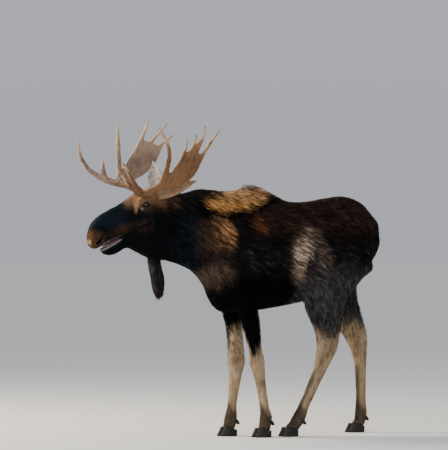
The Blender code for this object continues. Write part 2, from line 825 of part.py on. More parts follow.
ANTLERS = (
    Antler(
        "antler_left",
        ((0.085, 0.035, 1.715, 0.036), (0.125, 0.115, 1.742, 0.030),
         (0.168, 0.200, 1.742, 0.031), (0.125, 0.285, 1.768, 0.032),
         (0.075, 0.355, 1.810, 0.028)),
        (((0.150, 0.180, 1.738, 0.026), (0.205, 0.222, 1.742, 0.024),
          (0.262, 0.282, 1.790, 0.021), (0.335, 0.352, 1.875, 0.016),
          (0.412, 0.420, 1.967, 0.003)),
         ((0.155, 0.180, 1.736, 0.024), (0.215, 0.208, 1.738, 0.021),
          (0.275, 0.245, 1.780, 0.018), (0.340, 0.290, 1.834, 0.014),
          (0.410, 0.340, 1.903, 0.003))),
        (((0.080, 0.345, 1.800, 0.026), (0.080, 0.420, 1.890, 0.021),
          (0.070, 0.468, 1.996, 0.017), (0.086, 0.490, 2.084, 0.014),
          (0.122, 0.500, 2.150, 0.011), (0.160, 0.500, 2.207, 0.003)),
         ((0.010, 0.440, 1.900, 0.016), (-0.018, 0.478, 1.990, 0.014),
          (-0.040, 0.505, 2.065, 0.012), (-0.038, 0.545, 2.147, 0.003)),
         ((-0.050, 0.460, 1.960, 0.016), (-0.088, 0.495, 2.050, 0.014),
          (-0.104, 0.525, 2.110, 0.011), (-0.108, 0.560, 2.176, 0.003)),
         ((-0.100, 0.465, 1.980, 0.020), (-0.122, 0.490, 2.060, 0.019),
          (-0.138, 0.508, 2.108, 0.008)),
         ((-0.090, 0.460, 1.960, 0.016), (-0.140, 0.490, 2.060, 0.014),
          (-0.168, 0.515, 2.140, 0.012), (-0.180, 0.550, 2.243, 0.003)),
         ((-0.110, 0.440, 1.920, 0.016), (-0.190, 0.480, 2.035, 0.015),
          (-0.245, 0.490, 2.120, 0.012), (-0.308, 0.500, 2.203, 0.003))),
        ((0.100, 0.335, 1.800), (0.055, 0.420, 1.885), (0.005, 0.462, 1.960),
         (-0.055, 0.492, 2.045)),
        ((0.020, 0.340, 1.772), (-0.080, 0.400, 1.812), (-0.155, 0.440, 1.900),
         (-0.200, 0.476, 2.020)),
        ((0.212, 0.222, 1.748), (1.0, 0.75, 0.45)),
        ((0.095, 0.320, 1.786), (-0.55, 1.0, 0.55))),
    Antler(
        "antler_right",
        ((0.085, -0.035, 1.725, 0.036), (0.115, -0.115, 1.770, 0.030),
         (0.160, -0.195, 1.805, 0.031), (0.175, -0.270, 1.822, 0.032),
         (0.160, -0.340, 1.850, 0.030)),
        (((0.150, -0.185, 1.802, 0.028), (0.215, -0.270, 1.820, 0.025),
          (0.275, -0.335, 1.838, 0.023), (0.345, -0.385, 1.880, 0.020),
          (0.412, -0.422, 1.945, 0.018), (0.452, -0.438, 2.030, 0.014),
          (0.470, -0.420, 2.146, 0.003)),
         ((0.225, -0.290, 1.818, 0.024), (0.284, -0.345, 1.852, 0.024),
          (0.296, -0.375, 1.925, 0.018), (0.287, -0.400, 2.004, 0.003))),
        (((0.180, -0.325, 1.840, 0.026), (0.168, -0.385, 1.920, 0.022),
          (0.152, -0.440, 2.040, 0.018), (0.146, -0.470, 2.150, 0.014),
          (0.140, -0.500, 2.266, 0.003)),
         ((0.030, -0.440, 2.030, 0.016), (-0.020, -0.480, 2.110, 0.015),
          (-0.070, -0.510, 2.190, 0.013), (-0.130, -0.560, 2.312, 0.003)),
         ((-0.050, -0.450, 2.030, 0.016), (-0.120, -0.495, 2.125, 0.014),
          (-0.195, -0.525, 2.195, 0.012), (-0.281, -0.560, 2.282, 0.003)),
         ((-0.100, -0.440, 2.000, 0.016), (-0.175, -0.478, 2.085, 0.014),
          (-0.240, -0.490, 2.140, 0.011), (-0.310, -0.500, 2.190, 0.003))),
        ((0.190, -0.335, 1.850), (0.120, -0.405, 1.950), (0.040, -0.450, 2.055),
         (-0.048, -0.495, 2.150)),
        ((0.095, -0.335, 1.835), (-0.018, -0.380, 1.878), (-0.130, -0.430, 1.962),
         (-0.208, -0.470, 2.090)),
        ((0.225, -0.282, 1.822), (1.0, -0.9, 0.25)),
        ((0.165, -0.312, 1.836), (-0.25, -1.0, 0.40))),
)


def antler_shell(antler):
    """Return an antler's tubes and blade as one bmesh of overlapping shells."""
    shells = [blade(antler.front, antler.back, (PALM_ROOT, PALM_RIM), head_point)]
    for path in (antler.beam, *antler.brow, *antler.tines):
        points = [Vector(point[:3]) for point in path]
        points[-1] += (points[-1] - points[-2]).normalized() * TIP_EXTRA
        radii = [point[3] for point in path]
        radii[-1] = max(radii[-1], TIP_RADIUS)
        shells.append(tube([tuple(point) for point in points], radii, head_point, TINE_FLAT))
    return joined(shells)


def add_antlers(head, collection, cutters):
    """Grow both antlers, set them on the head and part each at its two forks."""
    for antler in ANTLERS:
        whole = new_object(antler.name, antler_shell(antler), collection)
        remesh(whole, ANTLER_VOXEL)
        relax(whole, 8)
        triangulate(whole)
        thin_out_all(whole, ANTLER_TRIANGLES)
        subtract(whole, swollen(head, cutters))
        keep_largest(whole)
        anchors = {f"{antler.name}_beam": head_point(*antler.beam[2][:3]),
                   f"{antler.name}_brow": head_point(*antler.brow[0][-2][:3]),
                   f"{antler.name}_palm": head_point(*antler.tines[0][-2][:3])}
        for label, (middle, run), spans in (("brow", antler.brow_cut, (0.09, 0.09)),
                                            ("palm", antler.palm_cut, (0.10, 0.11))):
            normal = head_point(*run) - head_point(0.0, 0.0, 0.0)
            subtract(whole, slab(f"cut_{antler.name}_{label}", head_point(*middle), normal,
                                 spans, cutters))
        name_pieces(whole, anchors, collection)


# ---- Feet -------------------------------------------------------------------------------

def toe_shell(side):
    """Return one toe of a cloven hoof about its own zero, toes forward.

    side: 1 for the toe on the animal's left, -1 for the one on its right.
    """
    rings = []
    # height, share of the sole's length, shift to the rear, share of its width
    for height, length, shift, width in ((0.0, 0.94, 0.0, 0.92), (0.006, 1.0, 0.0, 1.0),
                                         (0.040, 0.86, 0.010, 0.98), (0.095, 0.66, 0.022, 0.88)):
        ring = []
        for index in range(12):
            turn = 2.0 * math.pi * index / 12
            along = math.cos(turn)
            across = signed_power(math.sin(turn), 0.8)
            inward = across * side < 0.0
            taper = 1.0 - 0.42 * max(along, 0.0) ** 2
            half = HOOF_WIDTH / 2.0 * width * (taper if not inward else 0.5 + 0.5 * taper)
            ring.append(Vector((along * HOOF_LENGTH / 2.0 * length - shift,
                                across * half + side * (HOOF_WIDTH + TOE_GAP) / 2.0, height)))
        rings.append(ring)
    return rings


def add_feet(leg, foot, collection, cutters):
    """Add a leg's two toes below its coronet and the two dewclaws behind its fetlock."""
    toe = leg.joints[5]
    for label, side in (("left", 1.0), ("right", -1.0)):
        rings = [[body_point(toe[0] + HOOF_FORWARD + point.x, toe[1] + point.y,
                             point.z - STAND)
                  for point in ring] for ring in toe_shell(side)]
        shell = skin_rings(rings)
        lean = heading(*CORONET_NORMAL).normalized()
        top = body_point(toe[0], toe[1], CORONET) + lean * (CUT / 2.0)
        cut = bmesh.ops.bisect_plane(
            shell, geom=list(shell.verts) + list(shell.edges) + list(shell.faces),
            plane_co=top, plane_no=-lean, clear_outer=True)
        rim = [item for item in cut["geom_cut"] if isinstance(item, bmesh.types.BMEdge)]
        bmesh.ops.contextual_create(shell, geom=rim)
        bmesh.ops.triangulate(shell, faces=shell.faces)
        bmesh.ops.recalc_face_normals(shell, faces=shell.faces)
        new_object(f"hoof_{leg.name}_{label}", shell, collection)
        root = Vector(leg.joints[4]).lerp(leg.joints[5], 0.22)
        root += Vector((-0.026, 0.024 * side, 0.0))
        end = root + Vector((-0.036, 0.010 * side, -0.032))
        shell = tube([tuple(root), tuple(root.lerp(end, 0.55)), tuple(end)],
                     [0.018, 0.017, 0.006], body_point, 1.0, 1, 7)
        claw = new_object(f"dewclaw_{leg.name}_{label}", shell, collection)
        triangulate(claw)
        subtract(claw, swollen(foot, cutters))
        keep_largest(claw)


# ---- Finishes ---------------------------------------------------------------------------

def finish_of(name):
    """Return the name of a node's finish."""
    for start, finish in (("antler", "antler"), ("hoof", "horn_dark"), ("dewclaw", "horn_dark"),
                          ("eye", "eye"), ("tongue", "tongue"), ("head", "coat_face"),
                          ("ear", "coat_face")):
        if name.startswith(start):
            return finish
    if name.endswith(("_lower", "_foot")):
        return "coat_leg"
    return "coat_dark"


def dress(collection):
    """Give each object of the model its own material, and shade it smooth."""
    for obj in collection.objects:
        colour, roughness = FINISHES[finish_of(obj.name)]
        material = bpy.data.materials.new(obj.name)
        material.use_nodes = True
        shader = material.node_tree.nodes["Principled BSDF"]
        shader.inputs["Base Color"].default_value = (*colour, 1.0)
        shader.inputs["Roughness"].default_value = roughness
        shader.inputs["Metallic"].default_value = 0.0
        obj.data.materials.clear()
        obj.data.materials.append(material)
        obj.data.shade_smooth()
        obj.data.set_sharp_from_angle(angle=math.radians(40.0))


def main():
    """Build the moose in a scene of its own."""
    for old in list(bpy.data.objects):
        bpy.data.objects.remove(old)
    moose = bpy.data.collections.new("moose")
    bpy.context.scene.collection.children.link(moose)
    cutting = bpy.data.collections.new("cutters")
    bpy.context.scene.collection.children.link(cutting)
    pieces = part_body(build_body(moose), moose, cutting)
    head = pieces["head"]
    add_bell(head, pieces["neck"], moose, cutting)
    add_antlers(head, moose, cutting)
    add_ears(head, pieces["neck"], moose, cutting)
    add_eyes(head, moose, cutting)
    add_tongue(head, pieces["jaw"], moose, cutting)
    add_tail(pieces["trunk"], moose, cutting)
    for leg in LEGS:
        add_feet(leg, pieces[f"{leg.name}_foot"], moose, cutting)
    dress(moose)


if __name__ == "__main__":
    main()
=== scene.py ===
"""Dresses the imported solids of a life-size bull moose that stands quite still, as a museum shows it.

One skin stands for all the nodes of flesh and carries the folds of the face.
Over it lies the coat, as many small closed locks of hair that follow its lie.
The eyes, antlers, hooves, dewclaws and tongue are pieces of their own.
"""

import json
import logging
import math
from dataclasses import dataclass, field
from enum import Enum, IntEnum

import bmesh
import bpy
import numpy as np
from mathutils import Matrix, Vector
from mathutils.bvhtree import BVHTree

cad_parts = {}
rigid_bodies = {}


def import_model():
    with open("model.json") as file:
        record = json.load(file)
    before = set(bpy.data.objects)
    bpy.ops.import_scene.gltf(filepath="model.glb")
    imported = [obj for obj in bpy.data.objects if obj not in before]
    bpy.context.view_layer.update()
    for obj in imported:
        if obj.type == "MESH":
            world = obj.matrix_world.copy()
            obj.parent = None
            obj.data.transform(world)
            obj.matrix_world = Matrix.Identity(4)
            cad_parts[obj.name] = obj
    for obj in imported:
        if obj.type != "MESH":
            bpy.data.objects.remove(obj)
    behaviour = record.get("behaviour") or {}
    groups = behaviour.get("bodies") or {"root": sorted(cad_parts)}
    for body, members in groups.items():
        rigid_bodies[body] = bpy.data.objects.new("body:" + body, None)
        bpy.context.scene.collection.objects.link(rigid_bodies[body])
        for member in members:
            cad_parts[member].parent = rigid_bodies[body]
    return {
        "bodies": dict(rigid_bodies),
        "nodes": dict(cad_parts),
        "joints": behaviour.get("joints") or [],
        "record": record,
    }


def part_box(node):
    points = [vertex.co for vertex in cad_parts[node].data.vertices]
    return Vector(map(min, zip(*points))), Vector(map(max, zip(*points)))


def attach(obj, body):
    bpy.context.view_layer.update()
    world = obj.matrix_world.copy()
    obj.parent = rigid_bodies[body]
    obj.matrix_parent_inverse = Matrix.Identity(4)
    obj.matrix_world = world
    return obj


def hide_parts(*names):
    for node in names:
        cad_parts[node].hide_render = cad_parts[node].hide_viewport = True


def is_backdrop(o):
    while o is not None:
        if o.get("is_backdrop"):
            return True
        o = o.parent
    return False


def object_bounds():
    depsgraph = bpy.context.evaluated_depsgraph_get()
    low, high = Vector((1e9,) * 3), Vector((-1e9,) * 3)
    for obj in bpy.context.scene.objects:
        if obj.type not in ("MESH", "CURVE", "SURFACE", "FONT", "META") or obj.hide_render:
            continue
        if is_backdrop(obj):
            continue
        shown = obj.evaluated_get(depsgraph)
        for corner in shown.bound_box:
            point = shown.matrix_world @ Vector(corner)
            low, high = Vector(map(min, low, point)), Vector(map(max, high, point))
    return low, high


LOG = logging.getLogger("moose")
BODY = "root"
COLOUR = "coat_colour"
BAKE_MAP = "OFBake"
BAKE_PATCH = 0.003
SHADE_UNDER_COAT = 0.85
MERGE_GAP = 1e-5
SWELL = 0.0006
ROOT_SINK = 0.0025
EYE_AHEAD = 0.20

ORIGIN_BACK = -0.015
ORIGIN_RIGHT = -0.038
POLL_FORWARD = 0.648
POLL_LEFT = -0.06
POLL_HEIGHT = 1.70
HEAD_YAW = math.radians(10)
HEAD_ROLL = math.radians(4)
STAND = 0.050

INK = (9, 11, 14)
NIGHT = (19, 15, 14)
# Near black, used only for painted shade under the belly and the painted shadow below the saddle.
SHADOW_BLACK = (4, 4, 4)

Card = tuple[int, int, int]

LEGS = ("foreleg_left", "foreleg_right", "hindleg_left", "hindleg_right")
SIDES = ("left", "right")
EAR_OPENINGS = {"left": (0.25, 0.80, 0.55), "right": (0.62, 0.78, 0.10)}


class Zone(Enum):
    """Parts of the animal that differ in the length, the lie and the colour of the hair."""

    HEAD = "head"
    JAW = "jaw"
    NECK = "neck"
    TRUNK = "trunk"
    BELL = "bell"
    TAIL = "tail"
    EAR = "ear"
    UPPER = "upper"
    LOWER = "lower"
    FOOT = "foot"


ZONES = list(Zone)


class Noise(IntEnum):
    """Seeds of the noise, one for each pattern."""

    SWIRL = 11
    FOLD = 21
    FINE_FOLD = 22
    MUSCLE = 31
    FINE_MUSCLE = 32
    BORDER = 41
    BORDER_HAIR = 42
    STRAND = 43
    PLUMB = 44
    BLOTCH = 45
    EAR_TUFT = 51
    RIPPLE = 61
    FINE_RIPPLE = 62
    CHEEK = 63
    NOSE = 64
    FADE = 65
    CLUMP = 71
    GRAIN = 72
    WIDE_GRAIN = 73
    FURROW = 81
    GRIT = 82
    STAIN = 83
    PIT = 84


def zone_of(node: str) -> Zone:
    """Tells which zone a node of flesh belongs to.

    Args:
        node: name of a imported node.

    Returns:
        The zone whose name begins or ends the node's name, or is the whole of it.
    """
    for zone in (Zone.EAR, Zone.UPPER, Zone.LOWER, Zone.FOOT):
        if node.startswith(zone.value) or node.endswith(zone.value):
            return zone
    return Zone(node)


def tint(red: float, green: float, blue: float) -> np.ndarray:
    """Turns a paint-card colour of 0 to 255 into the linear colour that shaders take.

    Args:
        red: red of the card.
        green: green of the card.
        blue: blue of the card.

    Returns:
        Three linear values.
    """
    card = np.array([red, green, blue], float) / 255
    return np.where(card <= 0.04045, card / 12.92, ((card + 0.055) / 1.055) ** 2.4)


def smooth(low: float, high: float, value: np.ndarray) -> np.ndarray:
    """Eases from 0 at low to 1 at high; low may be the larger of the two.

    Args:
        low: where the result is 0.
        high: where the result is 1.
        value: the values to grade.

    Returns:
        An array of 0 to 1.
    """
    share = np.clip((value - low) / (high - low), 0, 1)
    return share * share * (3 - 2 * share)


def unit(rows: np.ndarray) -> np.ndarray:
    """Scales each row to a length of one."""
    return rows / np.maximum(np.linalg.norm(rows, axis=1, keepdims=True), 1e-9)


def straight(way: np.ndarray) -> np.ndarray:
    """Scales one direction to a length of one."""
    return way / np.linalg.norm(way)


def lattice(cells: np.ndarray, seed: int) -> np.ndarray:
    """Gives each cell of a grid a value of its own.

    Args:
        cells: whole-numbered corners, one row each.
        seed: picks another set of values.

    Returns:
        Values from -1 to 1.
    """
    whole = cells.astype(np.int64)
    mixed = whole[:, 0] * 73856093 ^ whole[:, 1] * 19349663 ^ whole[:, 2] * 83492791 ^ seed * 2654435761
    mixed = (mixed ^ (mixed >> 13)) * 1274126177 & 0x7FFFFFFF
    mixed = (mixed ^ (mixed >> 11)) * 668265263 & 0x7FFFFFFF
    return (mixed >> 8 & 0xFFFF) / 32767.5 - 1


def cloud(points: np.ndarray, size: float, seed: int) -> np.ndarray:
    """Smooth noise whose lumps are about one size across.

    Args:
        points: places in metres.
        size: width of a lump in metres.
        seed: picks another pattern.

    Returns:
        Values from about -1 to 1, one for each point.
    """
    scaled = points / size
    corner = np.floor(scaled)
    part = scaled - corner
    part = part * part * (3 - 2 * part)
    total = np.zeros(len(points))
    for dx in (0, 1):
        for dy in (0, 1):
            for dz in (0, 1):
                share = (
                    np.abs(1 - dx - part[:, 0])
                    * np.abs(1 - dy - part[:, 1])
                    * np.abs(1 - dz - part[:, 2])
                )
                total += share * lattice(corner + (dx, dy, dz), seed)
    return total


def streaks(points: np.ndarray, way: np.ndarray, size: float, seed: int) -> np.ndarray:
    """Noise drawn out four times along one direction, as hair is.

    Args:
        points: places in metres.
        way: the direction that the hair runs.
        size: width of a streak in metres.
        seed: picks another pattern.

    Returns:
        Values from about -1 to 1, one for each point.
    """
    way = straight(way)
    return cloud(points - 0.75 * (points @ way)[:, None] * way, size, seed)


def curve(value: np.ndarray, *knots: tuple[float, float]) -> np.ndarray:
    """Reads a line through a few named corners.

    Args:
        value: where to read.
        knots: place and height of each corner, in rising order.

    Returns:
        The line's height at each value.
    """
    return np.interp(value, [knot[0] for knot in knots], [knot[1] for knot in knots])


def mix(under: np.ndarray, over: np.ndarray, amount: np.ndarray) -> np.ndarray:
    """Lays one colour over another.

    Args:
        under: the colours below.
        over: the colour on top.
        amount: how much of it shows at each row.

    Returns:
        The mixed colours.
    """
    amount = np.clip(amount, 0, 1)[:, None]
    return under * (1 - amount) + over * amount


def oval(first: np.ndarray, second: np.ndarray, soft: float) -> np.ndarray:
    """Grades a soft oval from its two coordinates, each told in radii."""
    return smooth(1 + soft, 1 - soft, np.hypot(first, second))


def ridge(value: np.ndarray, middle: object, width: object) -> np.ndarray:
    """Grades a soft ridge, which is 1 on its middle and falls away over its width."""
    return np.exp(-(((value - middle) / width) ** 2))


@dataclass(frozen=True)
class Spot:
    """A soft oval of one colour on the side of the animal, which may lean.

    Attributes:
        ahead: how far forward its middle lies.
        height: how high its middle lies.
        wide: half its width.
        tall: half its height.
        soft: how wide its blurred edge is, in radii.
        lean: how far it moves back for each metre upwards.
        card: its paint-card colour.
        share: how much of the colour shows in its middle.
    """

    ahead: float
    height: float
    wide: float
    tall: float
    soft: float
    lean: float
    card: Card
    share: float = 1.0

    def lay(self, under: np.ndarray, f: np.ndarray, h: np.ndarray, amount: object = 1.0) -> np.ndarray:
        """Lays the oval over some colours.

        Args:
            under: the colours so far.
            f: distance forward.
            h: height.
            amount: a further share, for hair that lets the colour through here and there.

        Returns:
            The new colours.
        """
        rise = h - self.height
        grade = oval((f - self.ahead + rise * self.lean) / self.wide, rise / self.tall, self.soft)
        return mix(under, tint(*self.card), grade * self.share * amount)


# Painted sky sheen: a blue-grey stripe down the front of the neck and chest.
CHEST_SKY_SHEEN = Spot(0.4232, 1.33, 0.035, 0.22, 0.4, 0.06, (24, 36, 46))
SHOULDER_POINT = Spot(0.262, 1.155, 0.080, 0.075, 0.9, 0.0, (104, 84, 70), 0.5)
# Painted sunlight: a reddish lit spot on the ribs behind the shoulder.
RIB_SUNLIT_SPOT = Spot(-0.0955, 1.505, 0.056, 0.066, 0.5, -0.5, (112, 64, 42), 0.65)
# Painted sunlight: the brown cheek above the shaded lower edge of the jaw.
CHEEK_SUNLIT_SPOT = Spot(0.118, 1.515, 0.062, 0.062, 0.5, 0.0, (54, 41, 31), 0.8)
TEAR_SPOT = Spot(0.152, 1.640, 0.007, 0.009, 0.4, 0.0, (150, 130, 112), 0.8)
NOSE_SPOT = Spot(0.487, 1.415, 0.062, 0.060, 0.35, 0.0, (80, 62, 50))
# The palest spot is painted sunlight on the front of the thigh; the near-black one is its notch.
THIGH_SPOTS = (
    Spot(-0.435, 1.31, 0.120, 0.175, 0.4, 0.30, (104, 78, 66), 0.75),
    Spot(-0.565, 1.31, 0.070, 0.130, 0.6, -0.30, (132, 114, 100), 0.6),
    Spot(-0.422, 1.30, 0.066, 0.150, 0.6, 0.363, (206, 180, 154), 0.9),
    Spot(-0.4915, 1.25, 0.032, 0.095, 0.4, 0.45, (20, 21, 27), 0.92),
)


@dataclass(frozen=True)
class Places:
    """The same points told in the terms of the body and of the turned head.

    Attributes:
        points: places in the row frame.
        forward: distance ahead of the body's middle.
        left: distance to the animal's left.
        height: distance above the level that all heights count from, STAND over the floor.
        along: distance ahead of the poll along the head.
        side: distance to the left of the head's own middle.
        level: height in terms of the head, which leans to its left.
    """

    points: np.ndarray
    forward: np.ndarray
    left: np.ndarray
    height: np.ndarray
    along: np.ndarray
    side: np.ndarray
    level: np.ndarray

    @staticmethod
    def of(points: np.ndarray) -> "Places":
        """Reads points of the row frame.

        Args:
            points: one row for each place.

        Returns:
            The places in all their terms.
        """
        forward = ORIGIN_BACK - points[:, 0]
        left = ORIGIN_RIGHT - points[:, 1]
        ahead = forward - POLL_FORWARD
        across = left - POLL_LEFT
        along = ahead * math.cos(HEAD_YAW) - across * math.sin(HEAD_YAW)
        side = ahead * math.sin(HEAD_YAW) + across * math.cos(HEAD_YAW)
        height = points[:, 2] - STAND
        return Places(points, forward, left, height, along, side, height + side * math.tan(HEAD_ROLL))


AHEAD = np.array([-1.0, 0.0, 0.0])
LEFTWARD = np.array([0.0, -1.0, 0.0])
UP = np.array([0.0, 0.0, 1.0])
HEAD_AHEAD = np.array([-math.cos(HEAD_YAW), math.sin(HEAD_YAW), 0.0])
HEAD_LEFT = np.array([-math.sin(HEAD_YAW), -math.cos(HEAD_YAW), 0.0])


def mirrored(side: str) -> int:
    """Gives 1 for the left side and -1 for the right."""
    return 1 if side == "left" else -1


def gaze(side: str) -> np.ndarray:
    """Gives the way that an eye looks: outwards and a little ahead."""
    return straight(HEAD_LEFT * mirrored(side) + HEAD_AHEAD * EYE_AHEAD)


class Shade:
    """A value on its way through a material, whose arithmetic adds Math nodes."""

    def __init__(self, maker: "NodeMaker", socket: bpy.types.NodeSocket) -> None:
        """Wraps one socket of a maker's tree."""
        self.maker = maker
        self.socket = socket

    def work(self, operation: str, first: object, second: object) -> "Shade":
        """Adds one Math node.

        Args:
            operation: the node's operation.
            first: a shade or number.
            second: a shade or number.

        Returns:
            The node's result.
        """
        node = self.maker.node("ShaderNodeMath", {"operation": operation}, {0: first, 1: second})
        return Shade(self.maker, node.outputs[0])

    def __add__(self, other: object) -> "Shade":
        """Adds a value."""
        return self.work("ADD", self, other)

    def __radd__(self, other: object) -> "Shade":
        """Is added to a value."""
        return self.work("ADD", other, self)

    def __sub__(self, other: object) -> "Shade":
        """Takes a value away."""
        return self.work("SUBTRACT", self, other)

    def __rsub__(self, other: object) -> "Shade":
        """Is taken away from a value."""
        return self.work("SUBTRACT", other, self)

    def __mul__(self, other: object) -> "Shade":
        """Multiplies by a value."""
        return self.work("MULTIPLY", self, other)

    def __rmul__(self, other: object) -> "Shade":
        """Multiplies a value."""
        return self.work("MULTIPLY", other, self)


class NodeMaker:
    """Builds the node tree of one material."""

    def __init__(self, name: str) -> None:
        """Starts a material with one Principled surface.

        Args:
            name: the material's name.
        """
        self.material = bpy.data.materials.new(name)
        self.material.use_nodes = True
        self.tree = self.material.node_tree
        self.tree.nodes.clear()
        self.surface = self.tree.nodes.new("ShaderNodeBsdfPrincipled")
        output = self.tree.nodes.new("ShaderNodeOutputMaterial")
        self.tree.links.new(self.surface.outputs[0], output.inputs["Surface"])

    def feed(self, socket: bpy.types.NodeSocket, value: object) -> None:
        """Gives a socket a value or a link.

        Args:
            socket: the socket to fill.
            value: a shade, a socket, a number or a row of numbers.
        """
        if isinstance(value, Shade):
            self.tree.links.new(value.socket, socket)
        elif isinstance(value, bpy.types.NodeSocket):
            self.tree.links.new(value, socket)
        else:
            socket.default_value = value

    def node(
        self, kind: str, settings: dict[str, object], sockets: dict[object, object]
    ) -> bpy.types.Node:
        """Adds any node.

        Args:
            kind: the node's type.
            settings: its settings, with a ramp's stops under "stops".
            sockets: values or links by the socket's name or number.

        Returns:
            The node.
        """
        node = self.tree.nodes.new(kind)
        for name, value in settings.items():
            if name == "stops":
                ramp = node.color_ramp.elements
                for index, (place, colour) in enumerate(value):
                    stop = ramp[index] if index < 2 else ramp.new(place)
                    stop.position = place
                    stop.color = (*colour, 1)
            else:
                setattr(node, name, value)
        for name, value in sockets.items():
            self.feed(node.inputs[name], value)
        return node

    def spots(
        self, scale: float, detail: float, stretch: tuple[float, float, float] = (1, 1, 1)
    ) -> Shade:
        """Noise in the object's own metres.

        Args:
            scale: lumps for each metre.
            detail: octaves of finer noise.
            stretch: factors along the three axes.

        Returns:
            A value around 0.5.
        """
        place = self.node("ShaderNodeTexCoord", {}, {}).outputs["Object"]
        turned = self.node("ShaderNodeMapping", {}, {"Vector": place, "Scale": stretch}).outputs[0]
        sockets = {"Vector": turned, "Scale": scale, "Detail": detail}
        return Shade(self, self.node("ShaderNodeTexNoise", {}, sockets).outputs["Fac"])

    def painted(self, name: str) -> bpy.types.NodeSocket:
        """Reads a colour that the mesh carries."""
        return self.node("ShaderNodeAttribute", {"attribute_name": name}, {}).outputs["Color"]

    def mixed(self, blend: str, share: object, under: object, over: object) -> bpy.types.NodeSocket:
        """Mixes two colours.

        Args:
            blend: the Mix node's blend type.
            share: how much of the second shows.
            under: the first colour.
            over: the second colour.

        Returns:
            The mixed colour's socket.
        """
        settings = {"data_type": "RGBA", "blend_type": blend}
        return self.node("ShaderNodeMix", settings, {0: share, 6: under, 7: over}).outputs[2]

    def grey(self, value: Shade) -> bpy.types.NodeSocket:
        """Turns a value into a grey of that brightness."""
        parts = {0: value, 1: value, 2: value}
        return self.node("ShaderNodeCombineXYZ", {}, parts).outputs[0]

    def flecked(self, waver: Shade) -> bpy.types.NodeSocket:
        """Lets the colour that the mesh carries waver in brightness."""
        return self.mixed("MULTIPLY", 1.0, self.painted(COLOUR), self.grey(waver))

    def relief(self, height: object, depth: float) -> bpy.types.NodeSocket:
        """Turns a height into a bump.

        Args:
            height: the height, 0 to 1.
            depth: metres from 0 to 1.

        Returns:
            The bumped normal.
        """
        sockets = {"Height": height, "Distance": depth, "Strength": 1.0}
        return self.node("ShaderNodeBump", {}, sockets).outputs[0]

    def filled(self, values: dict[str, object]) -> bpy.types.Material:
        """Fills the inputs of the surface.

        Args:
            values: values or links by the input's name.

        Returns:
            The finished material.
        """
        for name, value in values.items():
            self.feed(self.surface.inputs[name], value)
        return self.material


@dataclass(frozen=True)
class HairFinish:
    """Hair, which takes its colour from the mesh.

    Attributes:
        name: the material's name.
        rough: roughness of the hair.
        shine: strength of its highlights.
        grizzle: how much the colour wavers.
        grain: strands for each metre in the bump.
        relief: depth of the bump in metres.
    """

    name: str
    rough: float
    shine: float
    grizzle: float
    grain: float
    relief: float

    def make(self) -> bpy.types.Material:
        """Builds the material.

        Returns:
            The material.
        """
        maker = NodeMaker(self.name)
        waver = maker.spots(self.grain, 3.0) * (2 * self.grizzle) + (1 - self.grizzle)
        return maker.filled(
            {
                "Base Color": maker.flecked(waver),
                "Roughness": self.rough,
                "Specular IOR Level": self.shine,
                "Normal": maker.relief(maker.spots(self.grain * 1.4, 4.0, (1, 1, 0.25)), self.relief),
            }
        )


@dataclass(frozen=True)
class AntlerFinish:
    """Bone of a cleaned antler: brown in the grooves, ivory where it is rubbed.

    Attributes:
        name: the material's name.
    """

    name: str

    def make(self) -> bpy.types.Material:
        """Builds the material.

        Returns:
            The material.
        """
        maker = NodeMaker(self.name)
        stains = maker.spots(9.0, 4.0)
        grain = maker.spots(150.0, 3.0, (1, 1, 0.3))
        return maker.filled(
            {
                "Base Color": maker.flecked(stains * 0.30 + grain * 0.55 + 0.58),
                "Roughness": grain * 0.25 + 0.45,
                "Specular IOR Level": 0.4,
                "Normal": maker.relief(grain + maker.spots(45.0, 3.0) * 0.6, 0.0028),
            }
        )


@dataclass(frozen=True)
class HornFinish:
    """Horn of the hooves, ringed by its growth.

    Attributes:
        name: the material's name.
        dark: colour of the old horn.
        pale: colour of the scuffed edge.
    """

    name: str
    dark: Card
    pale: Card

    def make(self) -> bpy.types.Material:
        """Builds the material.

        Returns:
            The material.
        """
        maker = NodeMaker(self.name)
        rings = maker.spots(26.0, 3.0, (0.4, 0.4, 6.0))
        scuffs = maker.spots(90.0, 4.0)
        dark = (*tint(*self.dark), 1)
        pale = (*tint(*self.pale), 1)
        return maker.filled(
            {
                "Base Color": maker.mixed("MIX", rings * 0.45 + scuffs * 0.35 - 0.12, dark, pale),
                "Roughness": scuffs * 0.3 + 0.35,
                "Specular IOR Level": 0.25,
                "Normal": maker.relief(rings * 0.8 + scuffs * 0.3, 0.0016),
            }
        )


@dataclass(frozen=True)
class WetFinish:
    """Moist parts: the eyeball and the tongue.

    Attributes:
        name: the material's name.
        rough: roughness under the wet film.
        wet: weight of the film.
        shine: strength of the highlights under the film.
        grain: lumps for each metre.
        relief: depth of the bump in metres.
    """

    name: str
    rough: float
    wet: float
    shine: float
    grain: float
    relief: float

    def make(self) -> bpy.types.Material:
        """Builds the material.

        Returns:
            The material.
        """
        maker = NodeMaker(self.name)
        lumps = maker.spots(self.grain, 2.0)
        return maker.filled(
            {
                "Base Color": maker.flecked(lumps * 0.5 + 0.75),
                "Roughness": self.rough,
                "Specular IOR Level": self.shine,
                "Coat Weight": self.wet,
                "Coat Roughness": 0.06,
                "Normal": maker.relief(lumps, self.relief),
            }
        )


@dataclass(frozen=True)
class FloorFinish:
    """Plain pale floor.

    Attributes:
        name: the material's name.
    """

    name: str

    def make(self) -> bpy.types.Material:
        """Builds the material."""
        return NodeMaker(self.name).filled({"Base Color": (0.70, 0.695, 0.685, 1), "Roughness": 0.85})


def read_rows(items: bpy.types.bpy_prop_collection, name: str, width: int, kind: type) -> np.ndarray:
    """Reads one property of all the items of a mesh.

    Args:
        items: vertices, edges or other items.
        name: the property.
        width: how many numbers each item has.
        kind: type of the numbers.

    Returns:
        One row for each item.
    """
    rows = np.empty(len(items) * width, kind)
    items.foreach_get(name, rows)
    return rows.reshape(-1, width)


